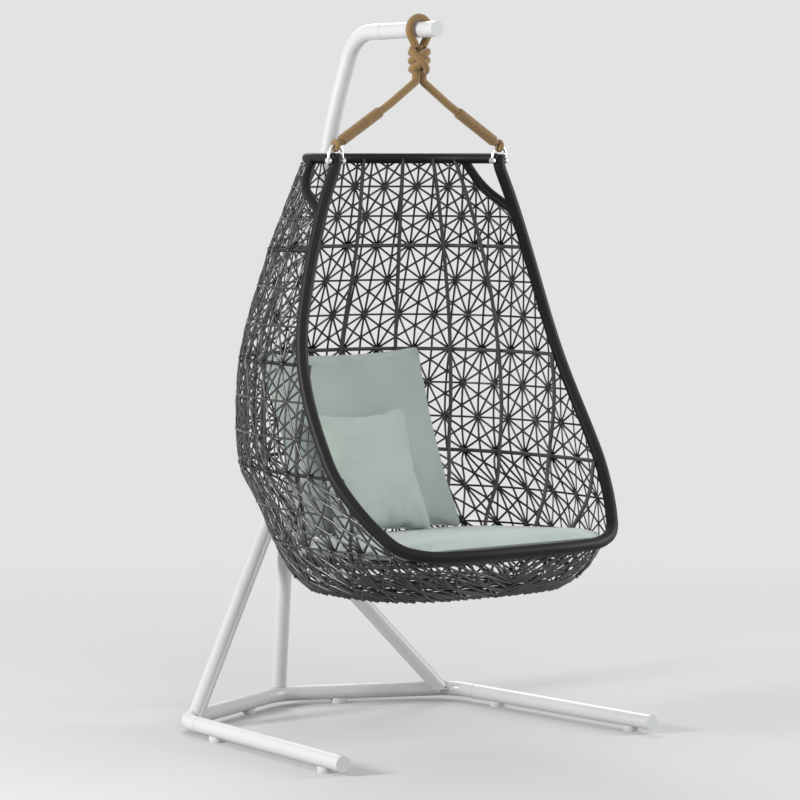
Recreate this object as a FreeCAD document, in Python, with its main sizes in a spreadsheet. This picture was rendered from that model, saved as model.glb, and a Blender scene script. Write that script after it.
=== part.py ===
import FreeCAD, Part
import math
import os

# Hanging egg chair: a woven basket that hangs by one knotted rope from a bent tube stand.
# Millimetres. +Z up, the basket's mouth faces -Y, the origin lies on the floor under the rope.

Vector = FreeCAD.Vector
Placement = FreeCAD.Placement
Rotation = FreeCAD.Rotation
UP = Vector(0, 0, 1)
LEFT, RIGHT = -1, 1
SIDE_NAMES = {LEFT: "left", RIGHT: "right"}

doc = FreeCAD.newDocument("HangingEggChair")
sheet = doc.addObject("Spreadsheet::Sheet", "Sizes")

SIZES = (
    # stand
    ("tube_diameter", 48, "stand tube, outside"),
    ("tube_wall", 3, "stand tube, wall"),
    ("weld_gap", 0.3, "between welded or seated round faces"),
    ("glide_height", 12, "floor to the underside of the floor tube"),
    ("glide_diameter", 50, "foot pad under the floor tube"),
    ("glide_climb", 6, "how far a foot pad climbs the tube"),
    ("glide_stem", 10, "stem of a foot pad, in the tube"),
    ("stem_length", 16, "stem above the underside of the tube"),
    ("stem_clearance", 0.1, "radial, stem in its hole"),
    ("rear_corner_x", 528, "half the width at the rear corners, on the axis"),
    ("rear_corner_y", 492, "rear corners behind the rope"),
    ("mast_foot_y", 735, "mast foot behind the rope"),
    ("front_end_x", 581, "half the width at the front ends"),
    ("front_reach", 400, "front ends before the rope"),
    ("corner_bend", 110, "bend radius of the rear corners"),
    ("foot_bend", 150, "bend radius at the mast foot"),
    ("runner_joint", 100, "rear corner to the joint of the runner"),
    ("front_glide", 88, "front foot behind the runner's end"),
    ("side_glide", 204, "side foot before the rear corner"),
    ("rear_glide", 197, "rear foot beside the mast foot"),
    ("mast_knee_y", 641, "mast's lower bend behind the rope"),
    ("mast_knee_height", 1101, "mast's lower bend above the floor"),
    ("mast_neck_y", 435, "mast's upper bend behind the rope"),
    ("mast_neck_height", 1870, "mast's upper bend above the floor"),
    ("mast_top_y", 319, "corner of mast and arm behind the rope"),
    ("arm_height", 2124, "axis of the arm above the floor"),
    ("knee_bend", 2500, "radius of the lower bend"),
    ("neck_bend", 1400, "radius of the upper bend"),
    ("top_bend", 130, "radius of the bend into the arm"),
    ("arm_joint_y", 175, "joint of mast and arm behind the rope"),
    ("arm_reach", 84, "arm's open end before the rope"),
    ("spigot_length", 120, "sleeve inside the joint of mast and arm"),
    ("spigot_wall", 3, "sleeve's wall"),
    ("cap_thickness", 3, "disc of a tube's end cap"),
    ("cap_plug", 20, "plug of an end cap"),
    ("plug_clearance", 0.1, "radial, plug or sleeve in its tube"),
    ("brace_foot_x", 478, "brace's foot from the middle"),
    ("brace_foot_y", 503, "brace's foot behind the rope"),
    ("brace_height", 592, "where the brace meets the mast"),
    ("brace_bend", 60, "bend radius of the brace behind the mast"),
    # rope and shackles
    ("rope_diameter", 24, "braided rope"),
    ("loop_gap", 0.3, "arm to the rope loop over it"),
    ("knot_radius", 44, "knot's top from the arm's axis"),
    ("swing_gap", 0.3, "between rope pieces that turn on each other"),
    ("knot_turns", 2.5, "turns of rope around the knot"),
    ("knot_pitch", 27.5, "rise of one turn"),
    ("leg_knee_x", 112, "where a rope leg enters its sleeve, from the middle"),
    ("leg_knee_drop", 223, "the same below the arm's axis"),
    ("sleeve_diameter", 34, "sleeve on a rope leg"),
    ("sleeve_gap", 0.2, "radial, sleeve on its rope"),
    ("pin_drop", 389, "shackle pins below the arm's axis"),
    ("pin_diameter", 10, "shackle pin"),
    ("pin_clearance", 0.05, "radial, pin in its eyes"),
    ("bow_rod", 8, "rod of a shackle bow"),
    ("bow_clearance", 3, "bow to the rim, each side"),
    ("bow_height", 45, "pin to the middle of the bow's crown"),
    ("bow_eye", 20, "boss at a bow's end"),
    ("pin_head", 16, "head of a shackle pin"),
    ("pin_head_thickness", 3, "the same, thickness"),
    ("eye_rope", 8, "half the thickness of the rope eye"),
    # basket tubes
    ("rim_diameter", 36, "wrapped rim of the mouth"),
    ("rim_wall", 5.9, "steel tube and its wrapping, as one wall"),
    ("ring_diameter", 32, "wrapped ring at the top"),
    ("top_brace_diameter", 28, "wrapped brace between ring and rim"),
    ("hoop_diameter", 12, "hoops and ribs under the weave"),
    ("weave_thickness", 6, "woven skin"),
    # basket levels: drop is measured from the arm's axis
    ("ring_drop", 382, "top ring"),
    ("shoulder_drop", 653, "shoulder hoop"),
    ("middle_drop", 981, "middle hoop"),
    ("lower_drop", 1299, "lower hoop"),
    ("thigh_drop", 1409, "row over the cushion"),
    ("seat_drop", 1518, "rim at the front of the seat"),
    ("pan_drop", 1616, "turn of the pan"),
    ("floor_drop", 1664, "underside of the basket"),
    ("ring_half", 308, "half width at the ring"),
    ("shoulder_half", 408, ""),
    ("middle_half", 487, ""),
    ("lower_half", 510, ""),
    ("thigh_half", 489, ""),
    ("seat_half", 465, ""),
    ("pan_half", 417, ""),
    ("floor_half", 366, ""),
    ("ring_back", 379, "back of the basket behind the rope"),
    ("shoulder_back", 440, ""),
    ("middle_back", 553, ""),
    ("lower_back", 572, ""),
    ("thigh_back", 462, ""),
    ("seat_back", 366, ""),
    ("pan_back", 300, ""),
    ("floor_back", 240, ""),
    ("ring_wide_y", 71, "widest place behind the rope"),
    ("shoulder_wide_y", 30, ""),
    ("middle_wide_y", -20, ""),
    ("lower_wide_y", -150, ""),
    ("thigh_wide_y", -120, ""),
    ("seat_wide_y", -85, ""),
    ("pan_wide_y", -75, ""),
    ("floor_wide_y", -65, ""),
    ("ring_square", 2.0, "exponent of the outline, 2 is an ellipse"),
    ("shell_square", 2.5, "the same below the ring"),
    ("front_square", 3.3, "the same for the closed front under the rim"),
    ("ring_rim_x", 308, "rim's axis from the middle"),
    ("shoulder_rim_x", 403, ""),
    ("middle_rim_x", 484, ""),
    ("lower_rim_x", 501, ""),
    ("thigh_rim_x", 462, ""),
    ("ring_rim_y", 2, "rim's axis behind the rope"),
    ("shoulder_rim_y", -14, ""),
    ("middle_rim_y", -72, ""),
    ("lower_rim_y", -252, ""),
    ("thigh_rim_y", -342, ""),
    ("rim_top", 12, "rim's top above the ring's axis"),
    ("rim_knee", 21, "end of the rim's upright stretch below the ring's axis"),
    ("ring_setback", 14, "ring's flat ends from the rim's axis"),
    ("corner_rim_x", 404, "rim where it turns into the seat's front"),
    ("corner_rim_y", -424, ""),
    ("seat_front", 500, "rim's axis before the rope, in the middle"),
    ("pan_front", 438, "turn of the pan before the rope"),
    ("floor_front", 366, "underside's front edge before the rope"),
    ("front_split", 250, "joint of front and side rim from the middle"),
    ("skin_gap", 4, "woven skin to the rim's face"),
    ("rib_gap", 3.3, "ribs to the hoops that they cross"),
    ("pan_hoop_lift", 10, "pan hoop above the turn of the pan"),
    ("pan_hoop_inset", 6, "how much further in the pan hoop lies"),
    ("seat_hoop_inset", 4, "how much further in the seat hoop lies"),
    # seat and cushions
    ("seat_panel", 8, "woven seat under the cushion"),
    ("seat_tilt", 3.8, "degrees that the seat slopes down to the back"),
    ("cushion_gap", 0.3, "between soft pieces"),
    ("seat_width", 790, "seat cushion"),
    ("seat_depth", 675, ""),
    ("seat_thickness", 60, ""),
    ("seat_corner", 125, "its front corners' radius"),
    ("seat_back_corner", 220, "its back corners' radius"),
    ("seat_front_gap", 30, "seat cushion to the rim's inner face"),
    ("back_width", 608, "back cushion"),
    ("back_length", 572, ""),
    ("back_thickness", 85, ""),
    ("back_x", 21, "back cushion from the middle"),
    ("back_lean", 22, "degrees"),
    ("back_foot_y", 235, "middle of the back cushion's foot behind the rope"),
    ("pillow_width", 350, "loose pillow"),
    ("pillow_length", 372, ""),
    ("pillow_thickness", 125, ""),
    ("pillow_x", -51, "pillow from the middle"),
)

for row, (alias, value, note) in enumerate(SIZES, start=1):
    sheet.set(f"A{row}", alias)
    sheet.set(f"B{row}", str(value))
    sheet.set(f"C{row}", note)
    sheet.setAlias(f"B{row}", alias)
doc.recompute()


class SheetSizes:
    """Reads a size by its alias, so that size.tube_wall is the sheet's cell."""

    def __getattr__(self, alias):
        return float(sheet.get(alias))


size = SheetSizes()
TUBE_RADIUS = "Sizes.tube_diameter / 2"
TUBE_BORE = "Sizes.tube_diameter / 2 - Sizes.tube_wall"
nodes = {}


def keep(obj, label):
    """Registers a finished sub-part under its own label, which names its file."""
    obj.Label = label
    nodes[label] = obj
    return obj


def feature(label, shape):
    obj = doc.addObject("Part::Feature", label)
    obj.Shape = shape
    return obj


# Paths and tubes


def rounded_path(points, radii=None, share=0.45):
    """Straight runs joined by tangent arcs, as large as the runs allow unless radii are given."""
    edges = []
    start = points[0]
    for index in range(1, len(points) - 1):
        before, corner, after = points[index - 1:index + 2]
        to_before = (before - corner).normalize()
        to_after = (after - corner).normalize()
        half_turn = (math.pi - to_before.getAngle(to_after)) / 2
        if half_turn < 1e-4:
            continue
        shorter = min(before.distanceToPoint(corner), after.distanceToPoint(corner))
        radius = radii[index - 1] if radii else share * shorter / math.tan(half_turn)
        setback = radius * math.tan(half_turn)
        first = corner + to_before * setback
        last = corner + to_after * setback
        inward = (to_before + to_after).normalize()
        middle = corner + inward * (radius / math.cos(half_turn) - radius)
        if start.distanceToPoint(first) > 1e-6:
            edges.append(Part.makeLine(start, first))
        edges.append(Part.Arc(first, middle, last).toShape())
        start = last
    if start.distanceToPoint(points[-1]) > 1e-6:
        edges.append(Part.makeLine(start, points[-1]))
    return Part.Wire(edges)


def start_of(path):
    edge = path.OrderedEdges[0]
    first = path.OrderedVertexes[0].Point
    at_first = edge.FirstParameter
    if edge.valueAt(at_first).distanceToPoint(first) > 1e-6:
        return first, edge.tangentAt(edge.LastParameter) * -1
    return first, edge.tangentAt(at_first)


def sweep(label, path, radius_rule):
    """A round bar along the path, its radius bound to the sheet."""
    spine = feature(label + "_path", path)
    point, direction = start_of(path)
    circle = doc.addObject("Part::Circle", label + "_circle")
    circle.setExpression("Radius", radius_rule)
    circle.Placement = Placement(point, Rotation(UP, direction))
    bar = doc.addObject("Part::Sweep", label)
    bar.Sections = [circle]
    bar.Spine = (spine, [])
    bar.Solid = True
    return bar


def cut(label, base, tool):
    result = doc.addObject("Part::Cut", label)
    result.Base = base
    result.Tool = tool
    return result


def hollow_tube(label, path, outer_rule=TUBE_RADIUS, inner_rule=TUBE_BORE):
    outer = sweep(label + "_outside", path, outer_rule)
    inner = sweep(label + "_bore", path, inner_rule)
    return cut(label, outer, inner)


def bar_shape(path, radius):
    """A round bar as a plain shape, to cut a seat into another piece."""
    point, direction = start_of(path)
    circle = Part.Wire([Part.makeCircle(radius, point, direction)])
    return path.makePipeShell([circle], True, False)


def cope(label, piece, *neighbours):
    """The piece with the neighbours' room cut away; its largest solid stays."""
    doc.recompute()
    shape = piece.Shape
    for neighbour in neighbours:
        shape = shape.cut(neighbour)
    largest = max(shape.Solids, key=lambda solid: solid.Volume)
    return keep(feature(label, largest), label)


def cylinder(label, radius_rule, height_rule, base, direction=UP):
    obj = doc.addObject("Part::Cylinder", label)
    obj.setExpression("Radius", radius_rule)
    obj.setExpression("Height", height_rule)
    obj.Placement = Placement(base, Rotation(UP, direction))
    return obj


def mirror(point, side):
    return Vector(side * point.x, point.y, point.z)


# Stand: floor frame, mast, arm, braces, feet and caps

tube_radius = size.tube_diameter / 2
floor_axis = size.glide_height + tube_radius
seat_radius = tube_radius + size.weld_gap
mast_foot = Vector(0, size.mast_foot_y, floor_axis)
rear_corner = Vector(size.rear_corner_x, size.rear_corner_y, floor_axis)
front_end = Vector(size.front_end_x, -size.front_reach, floor_axis)
runner_direction = (front_end - rear_corner).normalize()
runner_start = rear_corner + runner_direction * size.runner_joint


def glide_places():
    """Name, place on the tube's axis and direction of the tube, for each foot."""
    arm_direction = (rear_corner - mast_foot).normalize()
    spots = (
        ("front", front_end - runner_direction * size.front_glide, runner_direction),
        ("side", rear_corner + runner_direction * size.side_glide, runner_direction),
        ("rear", mast_foot + arm_direction * size.rear_glide, arm_direction),
    )
    for name, place, direction in spots:
        for side in (LEFT, RIGHT):
            yield f"{SIDE_NAMES[side]}_{name}_glide", mirror(place, side), mirror(direction, side)


def stem_holes():
    """Round holes in the underside of the floor tube, one for each foot's stem."""
    radius = size.glide_stem / 2 + size.stem_clearance
    holes = [Part.makeCylinder(radius, tube_radius, Vector(place.x, place.y, 0) + UP * size.glide_height)
             for name, place, direction in glide_places()]
    return feature("stem_holes", Part.makeCompound(holes))


def make_floor_frame():
    corners = [mirror(runner_start, LEFT), mirror(rear_corner, LEFT), mast_foot,
               rear_corner, runner_start]
    rail_path = rounded_path(corners, (size.corner_bend, size.foot_bend, size.corner_bend))
    holes = stem_holes()
    keep(cut("rear_floor_rail", hollow_tube("rail_tube", rail_path), holes), "rear_floor_rail")
    for side in (LEFT, RIGHT):
        name = SIDE_NAMES[side] + "_runner"
        path = Part.Wire([Part.makeLine(mirror(runner_start, side), mirror(front_end, side))])
        keep(cut(name, hollow_tube(name + "_tube", path), holes), name)
    return bar_shape(rail_path, seat_radius)


def make_glide(name, place, direction):
    """A round foot pad with a saddle for the tube and a stem that pushes into it."""
    base = Vector(place.x, place.y, 0)
    pad = cylinder(name + "_pad", "Sizes.glide_diameter / 2", "Sizes.glide_height + Sizes.glide_climb", base)
    room = cylinder(name + "_room", "Sizes.tube_diameter / 2 + Sizes.weld_gap",
                    "2 * Sizes.glide_diameter", place - direction * size.glide_diameter, direction)
    saddle = cut(name + "_saddle", pad, room)
    stem = cylinder(name + "_stem", "Sizes.glide_stem / 2", "Sizes.glide_height / 2 + Sizes.stem_length",
                    base + UP * (size.glide_height / 2))
    foot = doc.addObject("Part::Fuse", name)
    foot.Base = saddle
    foot.Tool = stem
    keep(foot, name)


def circle_pad(body, name, radius_rule, length_rule, backwards=False):
    """A round pad on the body's own XY plane, its radius and length bound to the sheet."""
    plane = next(item for item in body.Origin.OriginFeatures if item.Role == "XY_Plane")
    sketch = body.newObject("Sketcher::SketchObject", name + "_sketch")
    sketch.AttachmentSupport = [(plane, "")]
    sketch.MapMode = "FlatFace"
    sketch.addGeometry(Part.Circle(Vector(0, 0, 0), UP, 10), False)
    import Sketcher
    sketch.addConstraint(Sketcher.Constraint("Coincident", 0, 3, -1, 1))
    sketch.addConstraint(Sketcher.Constraint("Radius", 0, 10))
    sketch.setExpression("Constraints[1]", radius_rule)
    pad = body.newObject("PartDesign::Pad", name)
    pad.Profile = sketch
    pad.setExpression("Length", length_rule)
    pad.Reversed = backwards
    return pad


def make_cap(name, place, outward):
    """A disc that closes a stand tube, with its plug inside the bore."""
    body = doc.addObject("PartDesign::Body", name)
    circle_pad(body, name + "_disc", TUBE_RADIUS, "Sizes.cap_thickness")
    circle_pad(body, name + "_plug", TUBE_BORE + " - Sizes.plug_clearance", "Sizes.cap_plug", True)
    body.Placement = Placement(place, Rotation(UP, outward))
    keep(body, name)


def mast_axis_at(height):
    """Point and direction of the mast's lower straight stretch."""
    knee = Vector(0, size.mast_knee_y, size.mast_knee_height)
    direction = (knee - mast_foot).normalize()
    return mast_foot + direction * ((height - floor_axis) / direction.z), direction


def make_mast(rail_room):
    points = [mast_foot,
              Vector(0, size.mast_knee_y, size.mast_knee_height),
              Vector(0, size.mast_neck_y, size.mast_neck_height),
              Vector(0, size.mast_top_y, size.arm_height),
              Vector(0, size.arm_joint_y, size.arm_height)]
    path = rounded_path(points, (size.knee_bend, size.neck_bend, size.top_bend))
    cope("mast", hollow_tube("mast_tube", path), rail_room)


def make_arm():
    joint = Vector(0, size.arm_joint_y, size.arm_height)
    end = Vector(0, -size.arm_reach, size.arm_height)
    keep(hollow_tube("top_arm", Part.Wire([Part.makeLine(joint, end)])), "top_arm")
    half = Vector(0, size.spigot_length / 2, 0)
    outer = TUBE_BORE + " - Sizes.plug_clearance"
    path = Part.Wire([Part.makeLine(joint + half, joint - half)])
    keep(hollow_tube("arm_spigot", path, outer, outer + " - Sizes.spigot_wall"), "arm_spigot")
    make_cap("arm_end_cap", end, Vector(0, -1, 0))


def make_braces(rail_room):
    """One bent tube behind the mast, in two halves: a straight leg and half of the bend."""
    mast_point, mast_direction = mast_axis_at(size.brace_height)
    backward = Vector(0, mast_direction.z, -mast_direction.y)
    apex = mast_point + backward * (size.tube_diameter + size.weld_gap)
    middle = Vector(0, size.brace_foot_y, floor_axis)
    rise = apex.distanceToPoint(middle)
    upward = (apex - middle).normalize()
    centre_rise = rise - size.brace_bend
    reach = math.hypot(size.brace_foot_x, centre_rise)
    straight = math.sqrt(reach ** 2 - size.brace_bend ** 2)
    angle = math.atan2(centre_rise, size.brace_foot_x) + math.asin(size.brace_bend / reach)
    centre = middle + upward * centre_rise
    for side in (LEFT, RIGHT):
        inward = Vector(-side, 0, 0)
        foot = middle - inward * size.brace_foot_x
        touch = foot + (inward * math.cos(angle) + upward * math.sin(angle)) * straight
        half_way = ((touch - centre).normalize() + upward).normalize()
        bend = Part.Arc(touch, centre + half_way * size.brace_bend, apex).toShape()
        name = SIDE_NAMES[side] + "_brace"
        path = Part.Wire([Part.makeLine(foot, touch), bend])
        cope(name, hollow_tube(name + "_tube", path), rail_room)


def make_stand():
    rail_room = make_floor_frame()
    for name, place, direction in glide_places():
        make_glide(name, place, direction)
    for side in (LEFT, RIGHT):
        make_cap(SIDE_NAMES[side] + "_runner_cap", mirror(front_end, side), mirror(runner_direction, side))
    make_mast(rail_room)
    make_arm()
    make_braces(rail_room)


# Rope and shackles

arm_axis = Vector(0, 0, size.arm_height)
pin_height = size.arm_height - size.pin_drop
bow_half = size.rim_diameter / 2 + size.bow_clearance + size.bow_rod / 2
ROPE_RADIUS = "Sizes.rope_diameter / 2"
rope_radius = size.rope_diameter / 2


def shackle_place(side):
    return Vector(side * size.ring_rim_x, size.ring_rim_y, pin_height)


def make_loop():
    """The noose over the arm: a round bend with two straight tails that close in."""
    bend = tube_radius + size.loop_gap + rope_radius
    point_drop = 2 * bend
    half_angle = math.asin(bend / point_drop)
    tails = []
    for side in (LEFT, RIGHT):
        touch = arm_axis + Vector(side * bend * math.cos(half_angle), 0, -bend * math.sin(half_angle))
        tip = arm_axis + Vector(0, 0, -point_drop)
        tails.append((touch, touch + (tip - touch) * 0.7))
    top = arm_axis + Vector(0, 0, bend)
    path = Part.Wire([Part.makeLine(tails[0][1], tails[0][0]),
                      Part.Arc(tails[0][0], top, tails[1][0]).toShape(),
                      Part.makeLine(tails[1][0], tails[1][1])])
    rope = sweep("loop_rope", path, ROPE_RADIUS)
    doc.recompute()
    swing_room = Part.makeCylinder(size.knot_radius - size.swing_gap, 4 * bend,
                                   arm_axis - Vector(2 * bend, 0, 0), Vector(1, 0, 0))
    keep(feature("rope_loop", rope.Shape.common(swing_room)), "rope_loop")


def knot_bottom():
    turns_height = size.knot_turns * size.knot_pitch + size.rope_diameter
    return size.arm_height - size.knot_radius - turns_height


def make_knot():
    """Rope turns around a standing strand, under the noose."""
    coil_radius = size.rope_diameter + size.weld_gap
    bottom = knot_bottom()
    low = bottom + rope_radius

    def on_coil(turn):
        angle = 2 * math.pi * turn
        return Vector(coil_radius * math.cos(angle), coil_radius * math.sin(angle), low + size.knot_pitch * turn)

    quarters = round(4 * size.knot_turns)
    arcs = [Part.Arc(on_coil(q / 4), on_coil((q + 0.5) / 4), on_coil((q + 1) / 4)).toShape()
            for q in range(quarters)]
    turns = bar_shape(Part.Wire(arcs), rope_radius)
    strand = Part.makeCylinder(rope_radius, size.knot_radius * 3, Vector(0, 0, bottom))
    above = Part.makeCylinder(size.knot_radius, 6 * rope_radius,
                              arm_axis - Vector(3 * rope_radius, 0, 0), Vector(1, 0, 0))
    head = Part.makeBox(6 * rope_radius, 6 * rope_radius, 3 * size.knot_radius,
                        arm_axis - Vector(3 * rope_radius, 3 * rope_radius, 0))
    strand = strand.cut(above).cut(head)
    keep(feature("rope_knot", Part.makeCompound([turns, strand])), "rope_knot")


def make_rope_leg(side):
    """A leg from the knot to its shackle, ending in an eye around the bow."""
    name = SIDE_NAMES[side] + "_rope_leg"
    root = Vector(side * (rope_radius + size.weld_gap), 0, knot_bottom() - size.swing_gap)
    knee = Vector(side * size.leg_knee_x, 0, size.arm_height - size.leg_knee_drop)
    crown = shackle_place(side) + UP * size.bow_height
    eye_centre = crown + Vector(-side * 2, 0, 2)
    down = (eye_centre - knee).normalize()
    eye_radius = size.eye_rope + size.bow_rod / 2 + size.weld_gap
    end = eye_centre - down * eye_radius
    bend = root - UP * (2 / 3 * size.rope_diameter)
    path = rounded_path([root, bend, knee, end])
    rope = sweep(name + "_rope", path, ROPE_RADIUS)
    doc.recompute()
    eye = Part.makeTorus(eye_radius, size.eye_rope, crown, Vector(1, 0, 0))
    return name, rope.Shape, eye, knee, down, end


def make_ropes():
    for side in (LEFT, RIGHT):
        name, rope, eye, knee, down, end = make_rope_leg(side)
        bow_room = bar_shape(bow_path(side), size.bow_rod / 2 + size.weld_gap)
        whole = rope.fuse(eye).cut(bow_room)
        whole = max(whole.Solids, key=lambda solid: solid.Volume)
        keep(feature(name, whole), name)
        sleeve = SIDE_NAMES[side] + "_rope_sleeve"
        line = Part.Wire([Part.makeLine(knee + down * size.rope_diameter * 1.6, end - down * size.eye_rope)])
        bore = "Sizes.rope_diameter / 2 + Sizes.sleeve_gap"
        keep(hollow_tube(sleeve, line, "Sizes.sleeve_diameter / 2", bore), sleeve)


def bow_path(side):
    """The middle line of a shackle's bow: two legs and a half round crown."""
    pin = shackle_place(side)
    straight = size.bow_height - bow_half
    foot = [pin + Vector(-bow_half, 0, 0), pin + Vector(bow_half, 0, 0)]
    shoulder = [point + UP * straight for point in foot]
    crown = pin + UP * size.bow_height
    return Part.Wire([Part.makeLine(foot[0], shoulder[0]),
                      Part.Arc(shoulder[0], crown, shoulder[1]).toShape(),
                      Part.makeLine(shoulder[1], foot[1])])


def make_shackle(side):
    name = SIDE_NAMES[side] + "_shackle"
    pin = shackle_place(side)
    across = Vector(1, 0, 0)
    bow = bar_shape(bow_path(side), size.bow_rod / 2)
    for leg in (LEFT, RIGHT):
        inner_face = pin + across * (leg * bow_half - size.bow_rod / 2)
        bow = bow.fuse(Part.makeCylinder(size.bow_eye / 2, size.bow_rod, inner_face, across))
    half_length = bow_half + size.bow_rod / 2
    bore = Part.makeCylinder(size.pin_diameter / 2 + size.pin_clearance, 4 * half_length,
                             pin - across * 2 * half_length, across)
    keep(feature(name + "_bow", bow.cut(bore)), name + "_bow")
    shank = Part.makeCylinder(size.pin_diameter / 2, 2 * (half_length + size.weld_gap),
                              pin - across * (half_length + size.weld_gap), across)
    ends = [Part.makeCylinder(size.pin_head / 2, size.pin_head_thickness, place, across)
            for place in (pin + across * (half_length + size.weld_gap),
                          pin - across * (half_length + size.weld_gap + size.pin_head_thickness))]
    keep(feature(name + "_pin", shank.fuse(ends).removeSplitter()), name + "_pin")


def make_suspension():
    make_loop()
    make_knot()
    make_ropes()
    for side in (LEFT, RIGHT):
        make_shackle(side)


# Basket: outline by level

LEVELS = ("ring", "shoulder", "middle", "lower", "thigh", "seat", "pan", "floor")
RIM_LEVELS = LEVELS[:5]


def level_height(level):
    return size.arm_height - getattr(size, level + "_drop")


def along_levels(levels, values, height):
    """A smooth value between the levels: cubic, with the slopes of the neighbours."""
    heights = [level_height(level) for level in levels]
    last = len(heights) - 1
    slopes = []
    for index in range(last + 1):
        low, high = max(index - 1, 0), min(index + 1, last)
        slopes.append((values[high] - values[low]) / (heights[high] - heights[low]))
    index = 0
    while index < last - 1 and height < heights[index + 1]:
        index += 1
    span = heights[index + 1] - heights[index]
    t = (height - heights[index]) / span
    return ((2 * t ** 3 - 3 * t ** 2 + 1) * values[index] + (t ** 3 - 2 * t ** 2 + t) * span * slopes[index]
            + (3 * t ** 2 - 2 * t ** 3) * values[index + 1] + (t ** 3 - t ** 2) * span * slopes[index + 1])


def outline_at(height, word):
    return along_levels(LEVELS, [getattr(size, f"{level}_{word}") for level in LEVELS], height)


def rim_at(height):
    """The rim's axis beside the mouth, at one height."""
    xs = [getattr(size, level + "_rim_x") for level in RIM_LEVELS] + [size.corner_rim_x]
    ys = [getattr(size, level + "_rim_y") for level in RIM_LEVELS] + [size.corner_rim_y]
    levels = RIM_LEVELS + ("seat",)
    return Vector(along_levels(levels, xs, height), along_levels(levels, ys, height), height)


def squareness(height):
    if height >= level_height("shoulder"):
        share = (level_height("ring") - height) / (level_height("ring") - level_height("shoulder"))
        return size.ring_square + share * (size.shell_square - size.ring_square)
    return size.shell_square


def front_at(height):
    levels = ("seat", "pan", "floor")
    return -along_levels(levels, (size.seat_front, size.pan_front, size.floor_front), height)


def quarter(half, depth, wide_y, power, steps=40):
    """From the middle line round to the widest place, as a list of points."""
    points = []
    for step in range(steps + 1):
        angle = math.pi / 2 * step / steps
        x = half * math.sin(angle) ** (2 / power)
        y = wide_y + depth * max(math.cos(angle), 0) ** (2 / power)
        points.append(Vector(x, y, 0))
    return points


def half_outline(height, inset, closed):
    """Right half of the skin's outline, from the back's middle to the rim or the front."""
    half = outline_at(height, "half") - inset
    wide_y = outline_at(height, "wide_y")
    depth = outline_at(height, "back") - wide_y - inset
    power = squareness(height)
    points = quarter(half, depth, wide_y, power)
    if closed:
        front = wide_y - front_at(height) - inset
        points += list(reversed(quarter(half, -front, wide_y, size.front_square)))[1:]
    else:
        rim = rim_at(height)
        points.append(Vector(rim.x - inset, rim.y, 0))
    return points


def walk(points, distance):
    """The point at a distance along a list of points, with the direction there."""
    for first, second in zip(points, points[1:]):
        step = first.distanceToPoint(second)
        if distance <= step or second is points[-1]:
            direction = (second - first).normalize()
            return first + direction * distance, direction
        distance -= step


def outline_length(points):
    return sum(first.distanceToPoint(second) for first, second in zip(points, points[1:]))


def on_skin(height, distance, inset, closed=False):
    """A point on the basket; a negative distance goes round the left side."""
    point, direction = walk(half_outline(height, inset, closed), abs(distance))
    return Vector(math.copysign(point.x, distance) if distance else 0, point.y, height)


# Basket: frame tubes

HOOP_RADIUS = "Sizes.hoop_diameter / 2"
hoop_inset = size.weave_thickness + size.weld_gap + size.hoop_diameter / 2
rib_inset = hoop_inset + size.hoop_diameter + size.rib_gap
seat_hoop_inset = rib_inset + size.hoop_diameter + size.seat_hoop_inset
pan_hoop_height = level_height("pan") + size.pan_hoop_lift
seat_hoop_height = level_height("seat") - size.rim_diameter / 2 - size.hoop_diameter / 2
seat_angle = math.radians(size.seat_tilt)
seat_slope = math.tan(seat_angle)
seat_start = Vector(0, -size.seat_front, seat_hoop_height)
seat_along = Vector(0, math.cos(seat_angle), -math.sin(seat_angle))
seat_up = Vector(0, math.sin(seat_angle), math.cos(seat_angle))
panel_lift = size.hoop_diameter / 2 + size.weld_gap
cushion_lift = panel_lift + size.seat_panel + size.cushion_gap


def rim_points():
    """Right half of the rim's axis, from its top to the middle of the seat's front."""
    ring = level_height("ring")
    heights = [ring + size.rim_top, ring - size.rim_knee]
    marks = [level_height(level) for level in RIM_LEVELS]
    for upper, lower in zip(marks, marks[1:]):
        steps = max(1, round((upper - lower) / 110))
        heights += [upper + (lower - upper) * step / steps for step in range(1, steps + 1)]
    points = [rim_at(min(height, ring)) for height in heights]
    points[0].z = heights[0]
    points[1].x, points[1].y = points[0].x, points[0].y
    seat = level_height("seat")
    points.append(Vector(size.corner_rim_x, size.corner_rim_y, seat + 0.2 * (marks[-1] - seat)))
    points.append(Vector(0.78 * size.corner_rim_x, 0.45 * size.corner_rim_y - 0.55 * size.seat_front, seat))
    points.append(Vector(0.40 * size.corner_rim_x, -0.985 * size.seat_front, seat))
    return points


def rim_path():
    right = rim_points()
    left = [mirror(point, LEFT) for point in right]
    return rounded_path(left + list(reversed(right)))


def make_rim(path):
    """One wrapped tube around the mouth, in two sides and a front; its top ends are solid."""
    far = 2000
    bore = [Part.makeCylinder(size.pin_diameter / 2 + size.pin_clearance, 2 * size.rim_diameter,
                              shackle_place(side) - Vector(size.rim_diameter, 0, 0), Vector(1, 0, 0))
            for side in (LEFT, RIGHT)]
    hollow = bar_shape(path, size.rim_diameter / 2 - size.rim_wall)
    ends = Part.makeBox(far, far, far, Vector(-far / 2, -far / 2, level_height("ring") - size.rim_knee))
    whole = bar_shape(path, size.rim_diameter / 2).cut(Part.makeCompound(bore)).cut(hollow.cut(ends))
    front_box = Part.makeBox(2 * size.front_split, far, size.rim_diameter * 2,
                             Vector(-size.front_split, -far, level_height("seat") - size.rim_diameter))
    keep(feature("front_rim", whole.common(front_box)), "front_rim")
    sides = whole.cut(front_box)
    for side in (LEFT, RIGHT):
        solid = max(sides.Solids, key=lambda item: side * item.CenterOfMass.x)
        name = SIDE_NAMES[side] + "_rim"
        keep(feature(name, solid), name)


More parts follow.
